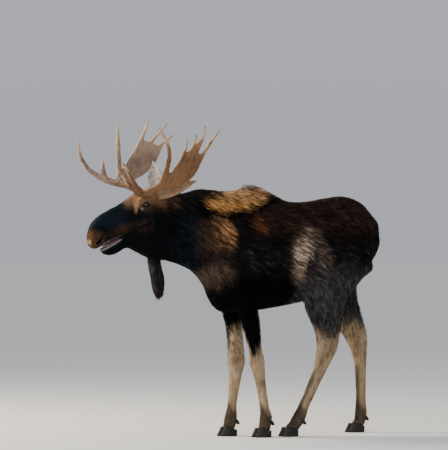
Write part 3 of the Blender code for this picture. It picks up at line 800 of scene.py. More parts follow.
class Surface:
    """A mesh held as arrays, for the smoothing and the fields that run over all of it."""

    def __init__(self, mesh: bpy.types.Mesh) -> None:
        """Reads the places and the edges of a mesh.

        Args:
            mesh: the mesh to read.
        """
        self.mesh = mesh
        self.points = read_rows(mesh.vertices, "co", 3, np.float32).astype(float)
        edges = read_rows(mesh.edges, "vertices", 2, np.int32)
        self.here = np.concatenate([edges[:, 0], edges[:, 1]])
        self.there = np.concatenate([edges[:, 1], edges[:, 0]])
        self.degree = np.maximum(np.bincount(self.here, minlength=len(self.points)), 1)

    def around(self, values: np.ndarray) -> np.ndarray:
        """Gives the mean over each vertex's neighbours.

        Args:
            values: one row for each vertex.

        Returns:
            Rows of the same shape.
        """
        rows = values.reshape(len(values), -1)
        result = np.empty_like(rows)
        for column in range(rows.shape[1]):
            total = np.bincount(self.here, rows[self.there, column], len(rows))
            result[:, column] = total / self.degree
        return result.reshape(values.shape)

    def spread(self, values: np.ndarray, rounds: int) -> np.ndarray:
        """Blurs values over the surface.

        Args:
            values: one row for each vertex.
            rounds: how many times each meets its neighbours.

        Returns:
            The blurred rows.
        """
        for _ in range(rounds):
            values = values * 0.5 + self.around(values) * 0.5
        return values

    def even(self, rounds: int, hold: np.ndarray | None = None) -> None:
        """Smooths away facets and keeps the volume.

        Args:
            rounds: pairs of a shrinking and a swelling step.
            hold: share from 0 to 1 by which a vertex takes part, or None for all.
        """
        share = np.ones(len(self.points)) if hold is None else hold
        for _ in range(rounds):
            for step in (0.55, -0.57):
                self.points += (self.around(self.points) - self.points) * (step * share)[:, None]

    def normals(self) -> np.ndarray:
        """Stores the places as they are now and works out their normals."""
        self.store()
        return read_rows(self.mesh.vertex_normals, "vector", 3, np.float32).astype(float)

    def store(self) -> None:
        """Writes the places back to the mesh."""
        self.mesh.vertices.foreach_set("co", self.points.astype(np.float32).ravel())
        self.mesh.update()


def put(name: str, mesh: bpy.types.Mesh) -> bpy.types.Object:
    """Links a mesh to the scene as a new piece.

    Args:
        name: the piece's name.
        mesh: its mesh.

    Returns:
        The piece.
    """
    mesh.name = name
    piece = bpy.data.objects.new(name, mesh)
    bpy.context.scene.collection.objects.link(piece)
    return piece


def dress(piece: bpy.types.Object, material: bpy.types.Material, slot: str) -> None:
    """Gives a piece its material and tells the frame where it belongs.

    Args:
        piece: the finished piece.
        material: its material.
        slot: the record's material slot; not used.
    """
    piece.data.materials.clear()
    piece.data.materials.append(material)
    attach(piece, BODY)
    LOG.info("%s: %d faces", piece.name, len(piece.data.polygons))


def paint(mesh: bpy.types.Mesh, colours: np.ndarray) -> None:
    """Stores a colour at each vertex.

    Args:
        mesh: the mesh to paint.
        colours: three linear values for each vertex.
    """
    layer = mesh.color_attributes.new(COLOUR, "FLOAT_COLOR", "POINT")
    rows = np.ones((len(colours), 4), np.float32)
    rows[:, :3] = np.clip(colours, 0, 1)
    layer.data.foreach_set("color", rows.ravel())


def soften(mesh: bpy.types.Mesh) -> None:
    """Shades every face of a mesh smoothly."""
    for polygon in mesh.polygons:
        polygon.use_smooth = True


def finished(
    name: str, mesh: bpy.types.Mesh, colours: np.ndarray, material: bpy.types.Material, slot: str
) -> bpy.types.Object:
    """Makes a coloured, smooth, dressed piece of a mesh.

    Args:
        name: the piece's name.
        mesh: its mesh.
        colours: three linear values for each vertex.
        material: its material.
        slot: the record's material slot.

    Returns:
        The piece.
    """
    paint(mesh, colours)
    soften(mesh)
    piece = put(name, mesh)
    dress(piece, material, slot)
    return piece


def baked(piece: bpy.types.Object) -> bpy.types.Mesh:
    """Turns a piece with its modifiers into a plain mesh and removes the piece.

    Args:
        piece: a piece with live modifiers.

    Returns:
        The resulting mesh.
    """
    graph = bpy.context.evaluated_depsgraph_get()
    mesh = bpy.data.meshes.new_from_object(piece.evaluated_get(graph))
    old = piece.data
    bpy.data.objects.remove(piece)
    bpy.data.meshes.remove(old)
    return mesh


def welded(frame: dict, names: list[str], swell: float) -> bpy.types.Mesh:
    """Joins copies of CAD nodes, each merged first and swollen a little so that they touch.

    Args:
        frame: the loaded frame.
        names: the nodes to copy.
        swell: how far each surface moves outwards.

    Returns:
        One mesh of overlapping closed shells.
    """
    whole = bmesh.new()
    for name in names:
        part = bmesh.new()
        part.from_mesh(frame["nodes"][name].data)
        bmesh.ops.remove_doubles(part, verts=part.verts, dist=MERGE_GAP)
        part.normal_update()
        for vertex in part.verts:
            vertex.co += vertex.normal * swell
        spare = bpy.data.meshes.new("spare")
        part.to_mesh(spare)
        part.free()
        whole.from_mesh(spare)
        bpy.data.meshes.remove(spare)
    mesh = bpy.data.meshes.new("welded")
    whole.to_mesh(mesh)
    whole.free()
    return mesh


def fused(mesh: bpy.types.Mesh, voxel: float) -> bpy.types.Mesh:
    """Melts overlapping shells into one even surface.

    Args:
        mesh: the shells.
        voxel: size of the grid.

    Returns:
        The new surface.
    """
    piece = put("fused", mesh)
    remesh = piece.modifiers.new("remesh", "REMESH")
    remesh.mode = "VOXEL"
    remesh.voxel_size = voxel
    return baked(piece)


def largest(mesh: bpy.types.Mesh) -> None:
    """Keeps only the largest connected part of a mesh.

    Args:
        mesh: the mesh to clean.
    """
    shape = bmesh.new()
    shape.from_mesh(mesh)
    shape.verts.ensure_lookup_table()
    seen = np.zeros(len(shape.verts), bool)
    best: list[int] = []
    for start in range(len(shape.verts)):
        if seen[start]:
            continue
        group = [start]
        seen[start] = True
        for index in group:
            for edge in shape.verts[index].link_edges:
                other = edge.other_vert(shape.verts[index]).index
                if not seen[other]:
                    seen[other] = True
                    group.append(other)
        if len(group) > len(best):
            best = group
    keep = set(best)
    loose = [v for v in shape.verts if v.index not in keep]
    bmesh.ops.delete(shape, geom=loose, context="VERTS")
    shape.to_mesh(mesh)
    shape.free()
    mesh.update()


@dataclass(frozen=True)
class LidShape:
    """How the skin lies round an eyeball.

    Attributes:
        wide: half the width of the opening, in radii of the ball.
        tall: half the height of the opening, in radii.
        slant: how far the opening sinks towards the nose.
        hold: radii within which the skin follows the ball.
        reach: radii at which it no longer does.
        thick: thickness of the skin over the ball in metres.
        brow: how far the brow stands out in metres.
        crease: depth of the crease round the lids in metres.
        cut: depth of the opening in metres.
        behind: how far the skin in the opening lies inside the ball in metres.
    """

    wide: float = 0.86
    tall: float = 0.56
    slant: float = 0.22
    hold: float = 1.12
    reach: float = 1.75
    thick: float = 0.0030
    brow: float = 0.0035
    crease: float = 0.0016
    cut: float = 0.0075
    behind: float = 0.003


@dataclass(frozen=True)
class NostrilShape:
    """A nostril, told in metres from its narrow upper end to its wide lower one.

    Attributes:
        upper: its upper end, along the head and in height.
        lower: its lower end, along the head and in height.
        bow: how far its middle bows out.
        narrow: half its width at the upper end.
        widening: how much wider half of it is at the lower end.
        shallow: its depth at the upper end.
        deepening: how much deeper it is at the lower end.
        rim: height of its rim.
    """

    upper: tuple[float, float] = (0.444, 1.448)
    lower: tuple[float, float] = (0.481, 1.384)
    bow: float = 0.007
    narrow: float = 0.0045
    widening: float = 0.0085
    shallow: float = 0.007
    deepening: float = 0.016
    rim: float = 0.0035


COAT_DEPTHS = {
    Zone.HEAD: 0.0042,
    Zone.JAW: 0.0045,
    Zone.NECK: 0.024,
    Zone.TRUNK: 0.019,
    Zone.BELL: 0.014,
    Zone.TAIL: 0.014,
    Zone.EAR: 0.0022,
    Zone.UPPER: 0.012,
    Zone.LOWER: 0.0045,
    Zone.FOOT: 0.0045,
}


@dataclass
class Skin:
    """The one skin over all the flesh, with the fields that the coat grows by.

    Attributes:
        frame: the loaded frame.
        voxel: grid of the first surface.
        rounds: how often its facets are smoothed.
        zone_blur: how often the borders between zones are blurred.
        lie_blur: how often the lie of the hair is blurred.
        body_share: share of its faces that the body keeps.
        lid: shape of the lids.
        nostril: shape of the nostrils.
        nodes: the nodes of flesh that it replaces.
        surface: its mesh as arrays.
        places: its vertices in body terms.
        weights: each vertex's shares in the zones.
        lie: which way the hair lies at each vertex.
        flow: how evenly it lies there, 0 to 1.
        depth: how deep the coat is there, in metres.
        pit: how far inside a nostril each vertex lies, 0 to 1.
        hollow: how far inside an ear each vertex lies, 0 to 1.
        normal: the finished skin's normals.
        piece: the finished piece.
    """

    frame: dict
    voxel: float = 0.0052
    rounds: int = 26
    zone_blur: int = 14
    lie_blur: int = 4
    body_share: float = 0.17
    lid: LidShape = LidShape()
    nostril: NostrilShape = NostrilShape()
    nodes: list[str] = field(default_factory=list)
    surface: Surface = field(init=False)
    places: Places = field(init=False)
    weights: np.ndarray = field(init=False)
    lie: np.ndarray = field(init=False)
    flow: np.ndarray = field(init=False)
    depth: np.ndarray = field(init=False)
    pit: np.ndarray = field(init=False)
    hollow: np.ndarray = field(init=False)
    normal: np.ndarray = field(init=False)
    piece: bpy.types.Object = field(init=False)

    def build(self) -> bpy.types.Object:
        """Makes the skin, its fields and its colours.

        Returns:
            The finished piece.
        """
        self.nodes = ["head", "jaw", "neck", "trunk", "bell", "tail"]
        self.nodes += [f"ear_{side}" for side in SIDES]
        self.nodes += [f"{leg}_{part}" for leg in LEGS for part in ("upper", "lower", "foot")]
        balls = [f"eye_{side}" for side in SIDES]
        mesh = self.thinned(fused(welded(self.frame, self.nodes + balls, SWELL), self.voxel))
        largest(mesh)
        mesh = self.refined(mesh)
        self.surface = Surface(mesh)
        self.weights = self.zone_weights()
        self.surface.even(self.rounds, 1 - 0.75 * self.part(Zone.EAR))
        self.read()
        self.lie = self.hair_lie()
        self.depth = self.coat_depth()
        self.surface.points -= self.surface.normals() * self.depth[:, None]
        self.sculpt()
        self.normal = self.surface.normals()
        self.read()
        self.hollow = self.cup()
        colour = self.marked(self.surface.points, self.normal, self.pit, self.hollow, self.weights)
        paint(mesh, colour * SHADE_UNDER_COAT)
        soften(mesh)
        self.piece = put("skin", mesh)
        self.unwrap()
        return self.piece

    def read(self) -> None:
        """Tells the present places in body terms."""
        self.places = Places.of(self.surface.points)

    def marked(
        self,
        points: np.ndarray,
        normal: np.ndarray,
        pit: np.ndarray,
        cup: np.ndarray,
        weights: np.ndarray,
    ) -> np.ndarray:
        """Colours some places of the coat.

        Args:
            points: the places.
            normal: the skin's normals there.
            pit: how far inside a nostril each lies.
            cup: how far inside an ear each lies.
            weights: shares in the zones there.

        Returns:
            Linear colours.
        """
        return Markings(Places.of(points), normal, self.eye_distance(points), pit, cup).all(weights)

    def part(self, zone: Zone) -> np.ndarray:
        """Gives each vertex's share in a zone."""
        return self.weights[:, ZONES.index(zone)]

    def thinned(self, mesh: bpy.types.Mesh) -> bpy.types.Mesh:
        """Thins the faces of the body, where the coat hides them.

        Args:
            mesh: the even surface.

        Returns:
            The surface with most of its faces left on the head and the ears.
        """
        places = Places.of(Surface(mesh).points)
        head = smooth(0.05, -0.02, -places.along) * smooth(1.15, 1.25, places.height)
        ears = smooth(0.38, 0.42, places.forward) * smooth(1.72, 1.78, places.height)
        ears = ears * smooth(0.08, 0.11, np.abs(places.side))
        coarse = 1 - np.maximum(head, ears)
        piece = put("thinned", mesh)
        group = piece.vertex_groups.new(name="coarse")
        for step in range(11):
            chosen = np.nonzero(np.round(coarse * 10) == step)[0].tolist()
            if chosen:
                group.add(chosen, step / 10, "REPLACE")
        thin = piece.modifiers.new("thin", "DECIMATE")
        thin.ratio = self.body_share
        thin.vertex_group = "coarse"
        thin.vertex_group_factor = 1.0
        return baked(piece)

    def refined(self, mesh: bpy.types.Mesh) -> bpy.types.Mesh:
        """Halves the faces around the eyes, the nostrils and the mouth.

        Args:
            mesh: the thinned surface.

        Returns:
            The same mesh with finer faces there.
        """
        shape = bmesh.new()
        shape.from_mesh(mesh)
        points = np.array([v.co for v in shape.verts])
        places = Places.of(points)
        nose = (places.along > 0.26) & (places.height > 1.2)
        fine = nose | (self.eye_distance(points) < 0.055)
        edges = [e for e in shape.edges if fine[e.verts[0].index] and fine[e.verts[1].index]]
        bmesh.ops.subdivide_edges(shape, edges=edges, cuts=1, use_grid_fill=True)
        bmesh.ops.triangulate(shape, faces=[f for f in shape.faces if len(f.verts) > 3])
        shape.to_mesh(mesh)
        shape.free()
        return mesh

    def eye_centre(self, side: str) -> np.ndarray:
        """Finds the middle of an eyeball."""
        low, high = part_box(f"eye_{side}")
        return np.array((low + high) / 2)

    def eye_distance(self, points: np.ndarray) -> np.ndarray:
        """Gives the distance from each point to the nearer eye.

        Args:
            points: places in the row frame.

        Returns:
            Distances in metres.
        """
        gaps = [np.linalg.norm(points - self.eye_centre(side), axis=1) for side in SIDES]
        return np.minimum(*gaps)

    def zone_weights(self) -> np.ndarray:
        """Finds the node nearest to each vertex and blurs the borders between zones.

        Returns:
            One row of shares for each vertex, in the order of the zones.
        """
        corners: list[Vector] = []
        faces: list[tuple[int, ...]] = []
        owners: list[Zone] = []
        for name in self.nodes:
            mesh = self.frame["nodes"][name].data
            start = len(corners)
            corners += [v.co.copy() for v in mesh.vertices]
            faces += [tuple(start + i for i in p.vertices) for p in mesh.polygons]
            owners += [zone_of(name)] * len(mesh.polygons)
        tree = BVHTree.FromPolygons(corners, faces)
        weights = np.zeros((len(self.surface.points), len(ZONES)))
        for index, point in enumerate(self.surface.points):
            weights[index, ZONES.index(owners[tree.find_nearest(point)[2]])] = 1
        return self.surface.spread(weights, self.zone_blur)

    def hair_lie(self) -> np.ndarray:
        """Works out which way the hair lies at each vertex.

        Returns:
            Unit rows along the surface.
        """
        places = self.places
        normal = self.surface.normals()
        steep = np.abs(normal[:, 2])
        flank = 1 - smooth(0.55, 0.9, steep)
        rows = np.zeros_like(places.points)
        back = -AHEAD
        trunk = back - UP * (0.75 * flank)[:, None]
        neck = back * 0.7 - UP * (0.9 * flank)[:, None]
        cheek = smooth(0.16, 0.0, places.along)
        face = -HEAD_AHEAD * 0.9 + UP * (0.35 - 0.8 * cheek)[:, None]
        jaw = -HEAD_AHEAD * 0.9 - UP * 0.35
        down = np.broadcast_to(-UP, rows.shape)
        leg = down + back * 0.12
        ways = {
            Zone.TRUNK: trunk,
            Zone.NECK: neck,
            Zone.HEAD: face,
            Zone.JAW: np.broadcast_to(jaw, rows.shape),
            Zone.BELL: down + back * 0.1,
            Zone.TAIL: down,
            Zone.UPPER: leg + back * (0.35 * smooth(0.9, 1.3, places.height))[:, None],
            Zone.LOWER: leg,
            Zone.FOOT: down - back * 0.15,
            Zone.EAR: self.ear_way(),
        }
        for zone, way in ways.items():
            rows += way * self.part(zone)[:, None]
        swirl = cloud(places.points, 0.16, Noise.SWIRL)[:, None] * 0.22
        rows += np.cross(normal, rows) * swirl
        rows -= normal * np.sum(rows * normal, axis=1)[:, None]
        self.flow = np.clip(np.linalg.norm(rows, axis=1) / 0.8, 0, 1)
        return unit(self.surface.spread(unit(rows), self.lie_blur))

    def ear_way(self) -> np.ndarray:
        """Finds which way the hair lies on the ears.

        Returns:
            For each vertex the direction from the root of the nearer ear to its tip.
        """
        places = self.places
        rows = np.zeros_like(places.points)
        for side in SIDES:
            mesh = self.frame["nodes"][f"ear_{side}"].data
            spots = np.array([v.co for v in mesh.vertices])
            poll = np.array([ORIGIN_BACK - POLL_FORWARD, ORIGIN_RIGHT - POLL_LEFT, POLL_HEIGHT + STAND])
            gaps = np.linalg.norm(spots - poll, axis=1)
            mine = (places.side > 0) == (side == "left")
            rows[mine] = straight(spots[np.argmax(gaps)] - spots[np.argmin(gaps)])
        return rows

    def cup(self) -> np.ndarray:
        """Finds the hollows of the ears.

        Returns:
            How far each vertex lies inside one, 0 to 1.
        """
        share = np.zeros(len(self.surface.points))
        for side, (ahead, out, up) in EAR_OPENINGS.items():
            way = straight(HEAD_AHEAD * ahead + HEAD_LEFT * out + UP * up)
            facing = smooth(0.10, 0.55, self.normal @ way)
            mine = (self.places.side > 0) == (side == "left")
            share[mine] = facing[mine]
        return share

    def coat_depth(self) -> np.ndarray:
        """Works out how deep the coat is: deepest on the crest of the neck and the hump.

        Returns:
            Metres for each vertex.
        """
        places = self.places
        depth = sum(self.part(zone) * value for zone, value in COAT_DEPTHS.items())
        crest = smooth(1.55, 1.74, places.height) * smooth(-0.35, -0.15, places.forward)
        depth += crest * 0.016 * smooth(0.56, 0.44, places.forward) * (1 - self.part(Zone.EAR))
        cheek = self.part(Zone.HEAD) * smooth(0.12, -0.04, places.along)
        return depth + cheek * 0.007

    def sculpt(self) -> None:
        """Shapes the lids, the nostrils, the lips and the muscles under the coat."""
        self.lids()
        self.read()
        self.nostrils()
        self.folds()
        self.muscles()

    def lids(self) -> None:
        """Draws the skin over each eyeball and opens it between two lids."""
        points, lid = self.surface.points, self.lid
        for side in SIDES:
            centre = self.eye_centre(side)
            low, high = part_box(f"eye_{side}")
            radius = (high - low).z / 2
            outward = gaze(side)
            fore = straight(HEAD_AHEAD - outward * (HEAD_AHEAD @ outward))
            offset = points - centre
            gap = np.linalg.norm(offset, axis=1)
            way = offset / np.maximum(gap, 1e-6)[:, None]
            out, ahead, up = way @ outward, way @ fore, way @ UP
            up = up + ahead * lid.slant
            wide = np.sqrt((ahead / lid.wide) ** 2 + (up / lid.tall) ** 2)
            opened = smooth(1.10, 0.92, wide) * (out > 0)
            brow = ridge(wide, 1.45, 0.35) * smooth(-0.1, 0.5, up) * lid.brow
            crease = ridge(wide, 1.42, 0.12) * lid.crease
            target = radius + lid.thick + brow - crease - opened * lid.cut
            outer = smooth(-0.15, 0.2, out)
            near = smooth(radius * lid.reach, radius * lid.hold, gap) * outer
            pull = np.where(gap < radius * lid.hold, 1.0, near) * outer
            moved = gap * (1 - pull) + np.maximum(target, gap * (1 - pull)) * pull
            moved = np.where(opened > 0.5, np.minimum(moved, radius - lid.behind), moved)
            shaped = (gap < radius * lid.reach) & (out > -0.15)
            points[shaped] = (centre + way * moved[:, None])[shaped]

    def nostrils(self) -> None:
        """Sinks the two nostrils and raises their rims."""
        places, shape = self.places, self.nostril
        normal = self.surface.normals()
        start = np.array(shape.upper)
        line = np.array(shape.lower) - start
        spots = np.stack([places.along, places.level], axis=1)
        share = np.clip(((spots - start) @ line) / (line @ line), 0, 1)
        bow = straight(np.array([line[1], -line[0]]))
        middle = start + share[:, None] * line + bow * (np.sin(share * np.pi) * shape.bow)[:, None]
        gap = np.linalg.norm(spots - middle, axis=1)
        reach = shape.narrow + shape.widening * share
        outer = (np.abs(places.side) > 0.018) & (places.along > 0.40)
        self.pit = smooth(1.25, 0.45, gap / reach) * outer
        rim = ridge(gap, reach * 1.55, reach * 0.5) * outer
        depth = shape.shallow + shape.deepening * share
        self.surface.points -= normal * (self.pit * depth - rim * shape.rim)[:, None]

    def folds(self) -> None:
        """Adds the soft folds of the face and the wrinkles at the corner of the mouth."""
        places = self.places
        normal = self.surface.normals()
        face = self.part(Zone.HEAD) + self.part(Zone.JAW)
        lump = cloud(places.points, 0.035, Noise.FOLD) * 0.0018
        lump += cloud(places.points, 0.014, Noise.FINE_FOLD) * 0.0006
        corner = np.hypot(places.along - 0.27, places.height - 1.43)
        wrinkle = np.sin((corner - 0.01) * 260) * ridge(corner, 0.0, 0.045) * 0.0018
        self.surface.points += normal * ((lump + wrinkle) * face)[:, None]

    def muscles(self) -> None:
        """Gives the body the light relief of the muscles under its coat."""
        points = self.places.points
        normal = self.surface.normals()
        body = self.part(Zone.TRUNK) + self.part(Zone.UPPER) + self.part(Zone.NECK)
        lump = cloud(points, 0.20, Noise.MUSCLE) * 0.005
        lump += cloud(points, 0.07, Noise.FINE_MUSCLE) * 0.0022
        self.surface.points += normal * (lump * body)[:, None]

    def unwrap(self) -> None:
        """Unwraps the skin's own shape into the bake map."""
        bpy.context.view_layer.objects.active = self.piece
        self.piece.data.uv_layers.new(name=BAKE_MAP)
        bpy.ops.object.select_all(action="DESELECT")
        self.piece.select_set(True)
        bpy.ops.object.mode_set(mode="EDIT")
        bpy.ops.mesh.select_all(action="SELECT")
        bpy.ops.uv.smart_project(angle_limit=math.radians(66), island_margin=0.002)
        bpy.ops.object.mode_set(mode="OBJECT")


@dataclass
class Markings:
    """The colours of the hair at a set of places.

    Attributes:
        places: where the hair stands.
        normal: the skin's normals there.
        eye_gap: distance to the nearer eye.
        pit: how far inside a nostril each place lies, 0 to 1.
        cup: how far inside an ear each place lies, 0 to 1.
        waver: how far the borders stray, in metres.
        strand: streaks along the flank's hair.
        plumb: streaks that run straight down.
    """

    places: Places
    normal: np.ndarray
    eye_gap: np.ndarray
    pit: np.ndarray
    cup: np.ndarray
    waver: np.ndarray = field(init=False)
    strand: np.ndarray = field(init=False)
    plumb: np.ndarray = field(init=False)

    def __post_init__(self) -> None:
        """Works out how the borders waver."""
        points = self.places.points
        flow = np.array([1.0, 0.0, -0.8])
        self.waver = cloud(points, 0.07, Noise.BORDER) * 0.020
        self.waver += streaks(points, flow, 0.016, Noise.BORDER_HAIR) * 0.012
        self.strand = streaks(points, flow, 0.016, Noise.STRAND)
        self.plumb = streaks(points, UP, 0.014, Noise.PLUMB)

    def speckle(self, size: float, pattern: Noise) -> np.ndarray:
        """Gives each place a value of 0 to 1 that varies in lumps of one size."""
        return cloud(self.places.points, size, pattern) * 0.5 + 0.5

    def plain(self, red: float, green: float, blue: float) -> np.ndarray:
        """Fills every place with one paint-card colour."""
        return np.broadcast_to(tint(red, green, blue), self.places.points.shape)

    def body(self) -> np.ndarray:
        """Colours the neck, the trunk and the upper legs.

        Returns:
            Linear colours.
        """
        f, h = self.places.forward + self.waver, self.places.height + self.waver
        coat = self.plain(*NIGHT)
        coat = mix(coat, tint(*INK), smooth(0.16, 0.36, f))
        russet = smooth(1.38, 1.50, h) * smooth(0.02, -0.10, f)
        coat = mix(coat, tint(58, 41, 34), russet * (0.45 + 0.45 * self.strand))
        frost = smooth(1.42, 1.30, h) * smooth(1.10, 1.22, h) * smooth(0.10, -0.02, f)
        coat = mix(coat, tint(66, 62, 62), frost * smooth(0.0, 0.8, self.strand) * 0.7)
        # Painted shade: the lower barrel and the belly turn near black.
        coat = mix(coat, tint(*SHADOW_BLACK), smooth(1.20, 1.06, h) * smooth(0.30, 0.16, f))
        # Painted sky sheen down the front of the neck and chest.
        coat = CHEST_SKY_SHEEN.lay(coat, f, h, 0.35 + 0.4 * self.plumb)
        # Painted sky sheen: blue-grey streaks on the lower front of the neck.
        sky_sheen = smooth(0.36, 0.50, f) * smooth(0.1, 0.8, self.plumb)
        coat = mix(coat, tint(30, 40, 48), sky_sheen * 0.55)
        mane = smooth(1.66, 1.72, h) * smooth(0.05, 0.12, f)
        coat = mix(coat, tint(44, 38, 34), mane * (0.5 + 0.5 * self.strand))
        coat = self.hump(coat, f, h)
        coat = self.shoulder(coat, f, h)
        coat = self.band(coat, f, h)
        return self.thigh(coat, f, h)

    def hump(self, coat: np.ndarray, f: np.ndarray, h: np.ndarray) -> np.ndarray:
        """Adds the golden saddle over the hump: painted sunlight grazing the hump's hair, darker towards
        its top.

        Args:
            coat: the colours so far.
            f: distance forward, with its waver.
            h: height, with its waver.

        Returns:
            The new colours.
        """
        low = self.saddle_edge(f)
        top = curve(
            f, (-0.01, 1.95), (0.01, 1.80), (0.085, 1.748), (0.157, 1.712), (0.24, 1.684), (0.36, 1.655)
        )
        saddle = smooth(-0.010, 0.014, h - low) * smooth(0.014, -0.016, h - top)
        saddle = saddle * smooth(0.38, 0.31, f) * smooth(-0.25, -0.15, f)
        # Painted sunlight: the hump's hair turns golden where the sun grazes it.
        sunlit_gold = mix(self.plain(240, 160, 92), tint(228, 168, 114), smooth(1.64, 1.72, h))
        sunlit_gold = mix(sunlit_gold, tint(66, 48, 37), smooth(1.738, 1.778, h) * 0.9)
        return mix(coat, sunlit_gold, saddle)

    def saddle_edge(self, f: np.ndarray) -> np.ndarray:
        """Gives the height of the saddle's lower edge.

        Args:
            f: distance forward, with its waver.

        Returns:
            Heights, with their waver.
        """
        rear = ((-0.25, 1.725), (-0.20, 1.700), (-0.13, 1.675), (-0.05, 1.646), (0.036, 1.622))
        return curve(f, *rear, (0.095, 1.602), (0.186, 1.598), (0.30, 1.632), (0.36, 1.665))

    def band(self, coat: np.ndarray, f: np.ndarray, h: np.ndarray) -> np.ndarray:
        """Draws a near-black painted shadow along the saddle's lower edge, where the sunlit saddle ends.

        Args:
            coat: the colours so far.
            f: distance forward, with its waver.
            h: height, with its waver.

        Returns:
            The new colours.
        """
        # Painted shadow along the lower edge of the sunlit saddle.
        under = ridge(h, self.saddle_edge(f) - 0.024, 0.016)
        under = under * smooth(-0.45, -0.30, f) * smooth(0.46, 0.36, f)
        return mix(coat, tint(*SHADOW_BLACK), under * 0.95)

    def shoulder(self, coat: np.ndarray, f: np.ndarray, h: np.ndarray) -> np.ndarray:
        """Adds the tawny shoulder blade, painted as sunlit and brightest towards its top, the point of
        the shoulder and a painted sunlit spot on the ribs.

        Args:
            coat: the colours so far.
            f: distance forward, with its waver.
            h: height, with its waver.

        Returns:
            The new colours.
        """
        low = ((1.20, 0.20), (1.29, 0.165), (1.38, 0.137), (1.44, 0.113))
        rear = curve(h, *low, (1.483, 0.120), (1.528, 0.152), (1.548, 0.19), (1.56, 0.24))
        blade = smooth(-0.010, 0.012, f - rear) * smooth(1.565, 1.540, h) * smooth(0.45, 0.33, f)
        blade = blade * smooth(1.22, 1.36, h)
        # Painted sunlight: the blade grows warmer and brighter towards its top.
        sun_warmth = smooth(0.32, 0.19, f) * smooth(1.31, 1.48, h)
        coat = mix(coat, mix(self.plain(50, 36, 28), tint(168, 118, 78), sun_warmth), blade)
        # The spot on the ribs is painted sunlight.
        return RIB_SUNLIT_SPOT.lay(SHOULDER_POINT.lay(coat, f, h), f, h)

    def thigh(self, coat: np.ndarray, f: np.ndarray, h: np.ndarray) -> np.ndarray:
        """Adds the pale patch of the thigh, which is painted sunlight on its front, its notch and the
        grey of the lower thigh.

        Args:
            coat: the colours so far.
            f: distance forward, with its waver.
            h: height, with its waver.

        Returns:
            The new colours.
        """
        grey = smooth(1.28, 1.05, h) * smooth(-0.32, -0.42, f)
        coat = mix(coat, tint(84, 80, 80), grey * (0.5 + 0.5 * self.plumb))
        # These spots include painted sunlight on the thigh's front.
        for spot in THIGH_SPOTS:
            coat = spot.lay(coat, f, h)
        return coat

    def legs(self, upper: np.ndarray) -> np.ndarray:
        """Colours the legs below the dark of the body.

        Args:
            upper: the body's colours.

        Returns:
            Linear colours.
        """
        places = self.places
        hind = places.forward < -0.3
        h = places.height + self.waver + self.plumb * 0.030
        inner = -np.sign(places.left) * (self.normal @ LEFTWARD)
        front = self.normal @ AHEAD
        line = 0.585 + 0.17 * smooth(-0.5, 0.6, inner) - 0.05 * front
        line = np.where(hind, 0.74 + 0.05 * inner, line)
        pale = smooth(0.05, -0.05, h - line)
        blotch = cloud(places.points, 0.045, Noise.BLOTCH) + 0.4 * self.plumb
        shin = mix(self.plain(176, 150, 116), tint(108, 84, 62), smooth(0.1, 0.9, blotch) * 0.75)
        shin = mix(shin, tint(206, 186, 160), smooth(0.1, 0.9, -blotch) * 0.6)
        leg = mix(upper, shin, pale)
        edge = smooth(0.45, 0.85, front) * smooth(0.50, 0.34, h) * hind
        leg = mix(leg, tint(58, 50, 46), edge * 0.8)
        foot = smooth(0.20, 0.10, h - 0.05 * front)
        return mix(leg, tint(46, 40, 37), foot * 0.85)

    def face(self) -> np.ndarray:
        """Colours the head and the jaw.

        Returns:
            Linear colours.
        """
        places = self.places
        ripple = cloud(places.points, 0.02, Noise.RIPPLE) * 0.006
        ripple += cloud(places.points, 0.008, Noise.FINE_RIPPLE) * 0.003
        fade = cloud(places.points, 0.05, Noise.FADE) * 0.016
        t, h = places.along + ripple, places.level + ripple
        face = self.plain(*INK)
        # Painted sky sheen: blue-grey on the upper muzzle.
        face = mix(face, tint(20, 28, 36), smooth(0.22, 0.30, t) * smooth(1.47, 1.53, h))
        mottle = self.speckle(0.013, Noise.CHEEK)
        # Painted sunlight on the cheek, let through in mottles.
        face = CHEEK_SUNLIT_SPOT.lay(face, t, h, smooth(0.25, 0.8, mottle))
        upper_lip = oval((t - 0.300) / 0.090, (h - 1.480 + (t - 0.300) * 0.35) / 0.034, 0.95)
        face = mix(face, tint(74, 52, 36), upper_lip * (0.25 + 0.75 * mottle) * 0.75)
        # Painted sunlight: brown on the side of the head between the eye and the ear, warmest towards
        # the top.
        rear = curve(h, (1.64, -0.060), (1.69, -0.098), (1.755, -0.137))
        poll = smooth(0.0, 0.012, t - rear) * smooth(1.585, 1.675, h + fade) * smooth(0.20, 0.13, t)
        sun_warmth = smooth(1.66, 1.74, h) * smooth(0.02, -0.08, t)
        face = mix(face, mix(self.plain(70, 52, 38), tint(124, 94, 64), sun_warmth), poll)
        forehead = smooth(0.272, 0.236, t + (h - 1.70) * 0.3) * smooth(1.620, 1.690, h + fade)
        face = mix(face, tint(150, 112, 86), forehead * 0.75)
        wide = 0.003 + 0.13 * np.clip(h - 1.594, 0, 0.10)
        beside = np.abs(t - 0.182 - (1.70 - h) * 0.14) - wide
        stripe = smooth(0.011, -0.007, beside) * smooth(1.585, 1.655, h)
        face = mix(face, tint(198, 152, 112), stripe * smooth(1.74, 1.70, h) * 0.9)
        brow = smooth(1.690, 1.705, h) * smooth(0.175, 0.150, t) * smooth(0.02, 0.05, t)
        face = mix(face, tint(164, 124, 90), brow * (0.35 + 0.6 * mottle))
        lid = smooth(0.036, 0.028, self.eye_gap) * smooth(1.672, 1.690, h)
        face = mix(face, tint(150, 116, 82), lid * 0.7)
        socket = smooth(0.060, 0.034, self.eye_gap) * smooth(1.680, 1.655, h)
        socket = np.maximum(socket, oval((t - 0.070) / 0.050, (h - 1.628) / 0.035, 0.9))
        face = mix(face, tint(30, 22, 18), socket * (0.35 + 0.4 * mottle))
        face = mix(face, tint(10, 9, 9), smooth(0.0280, 0.0245, self.eye_gap))
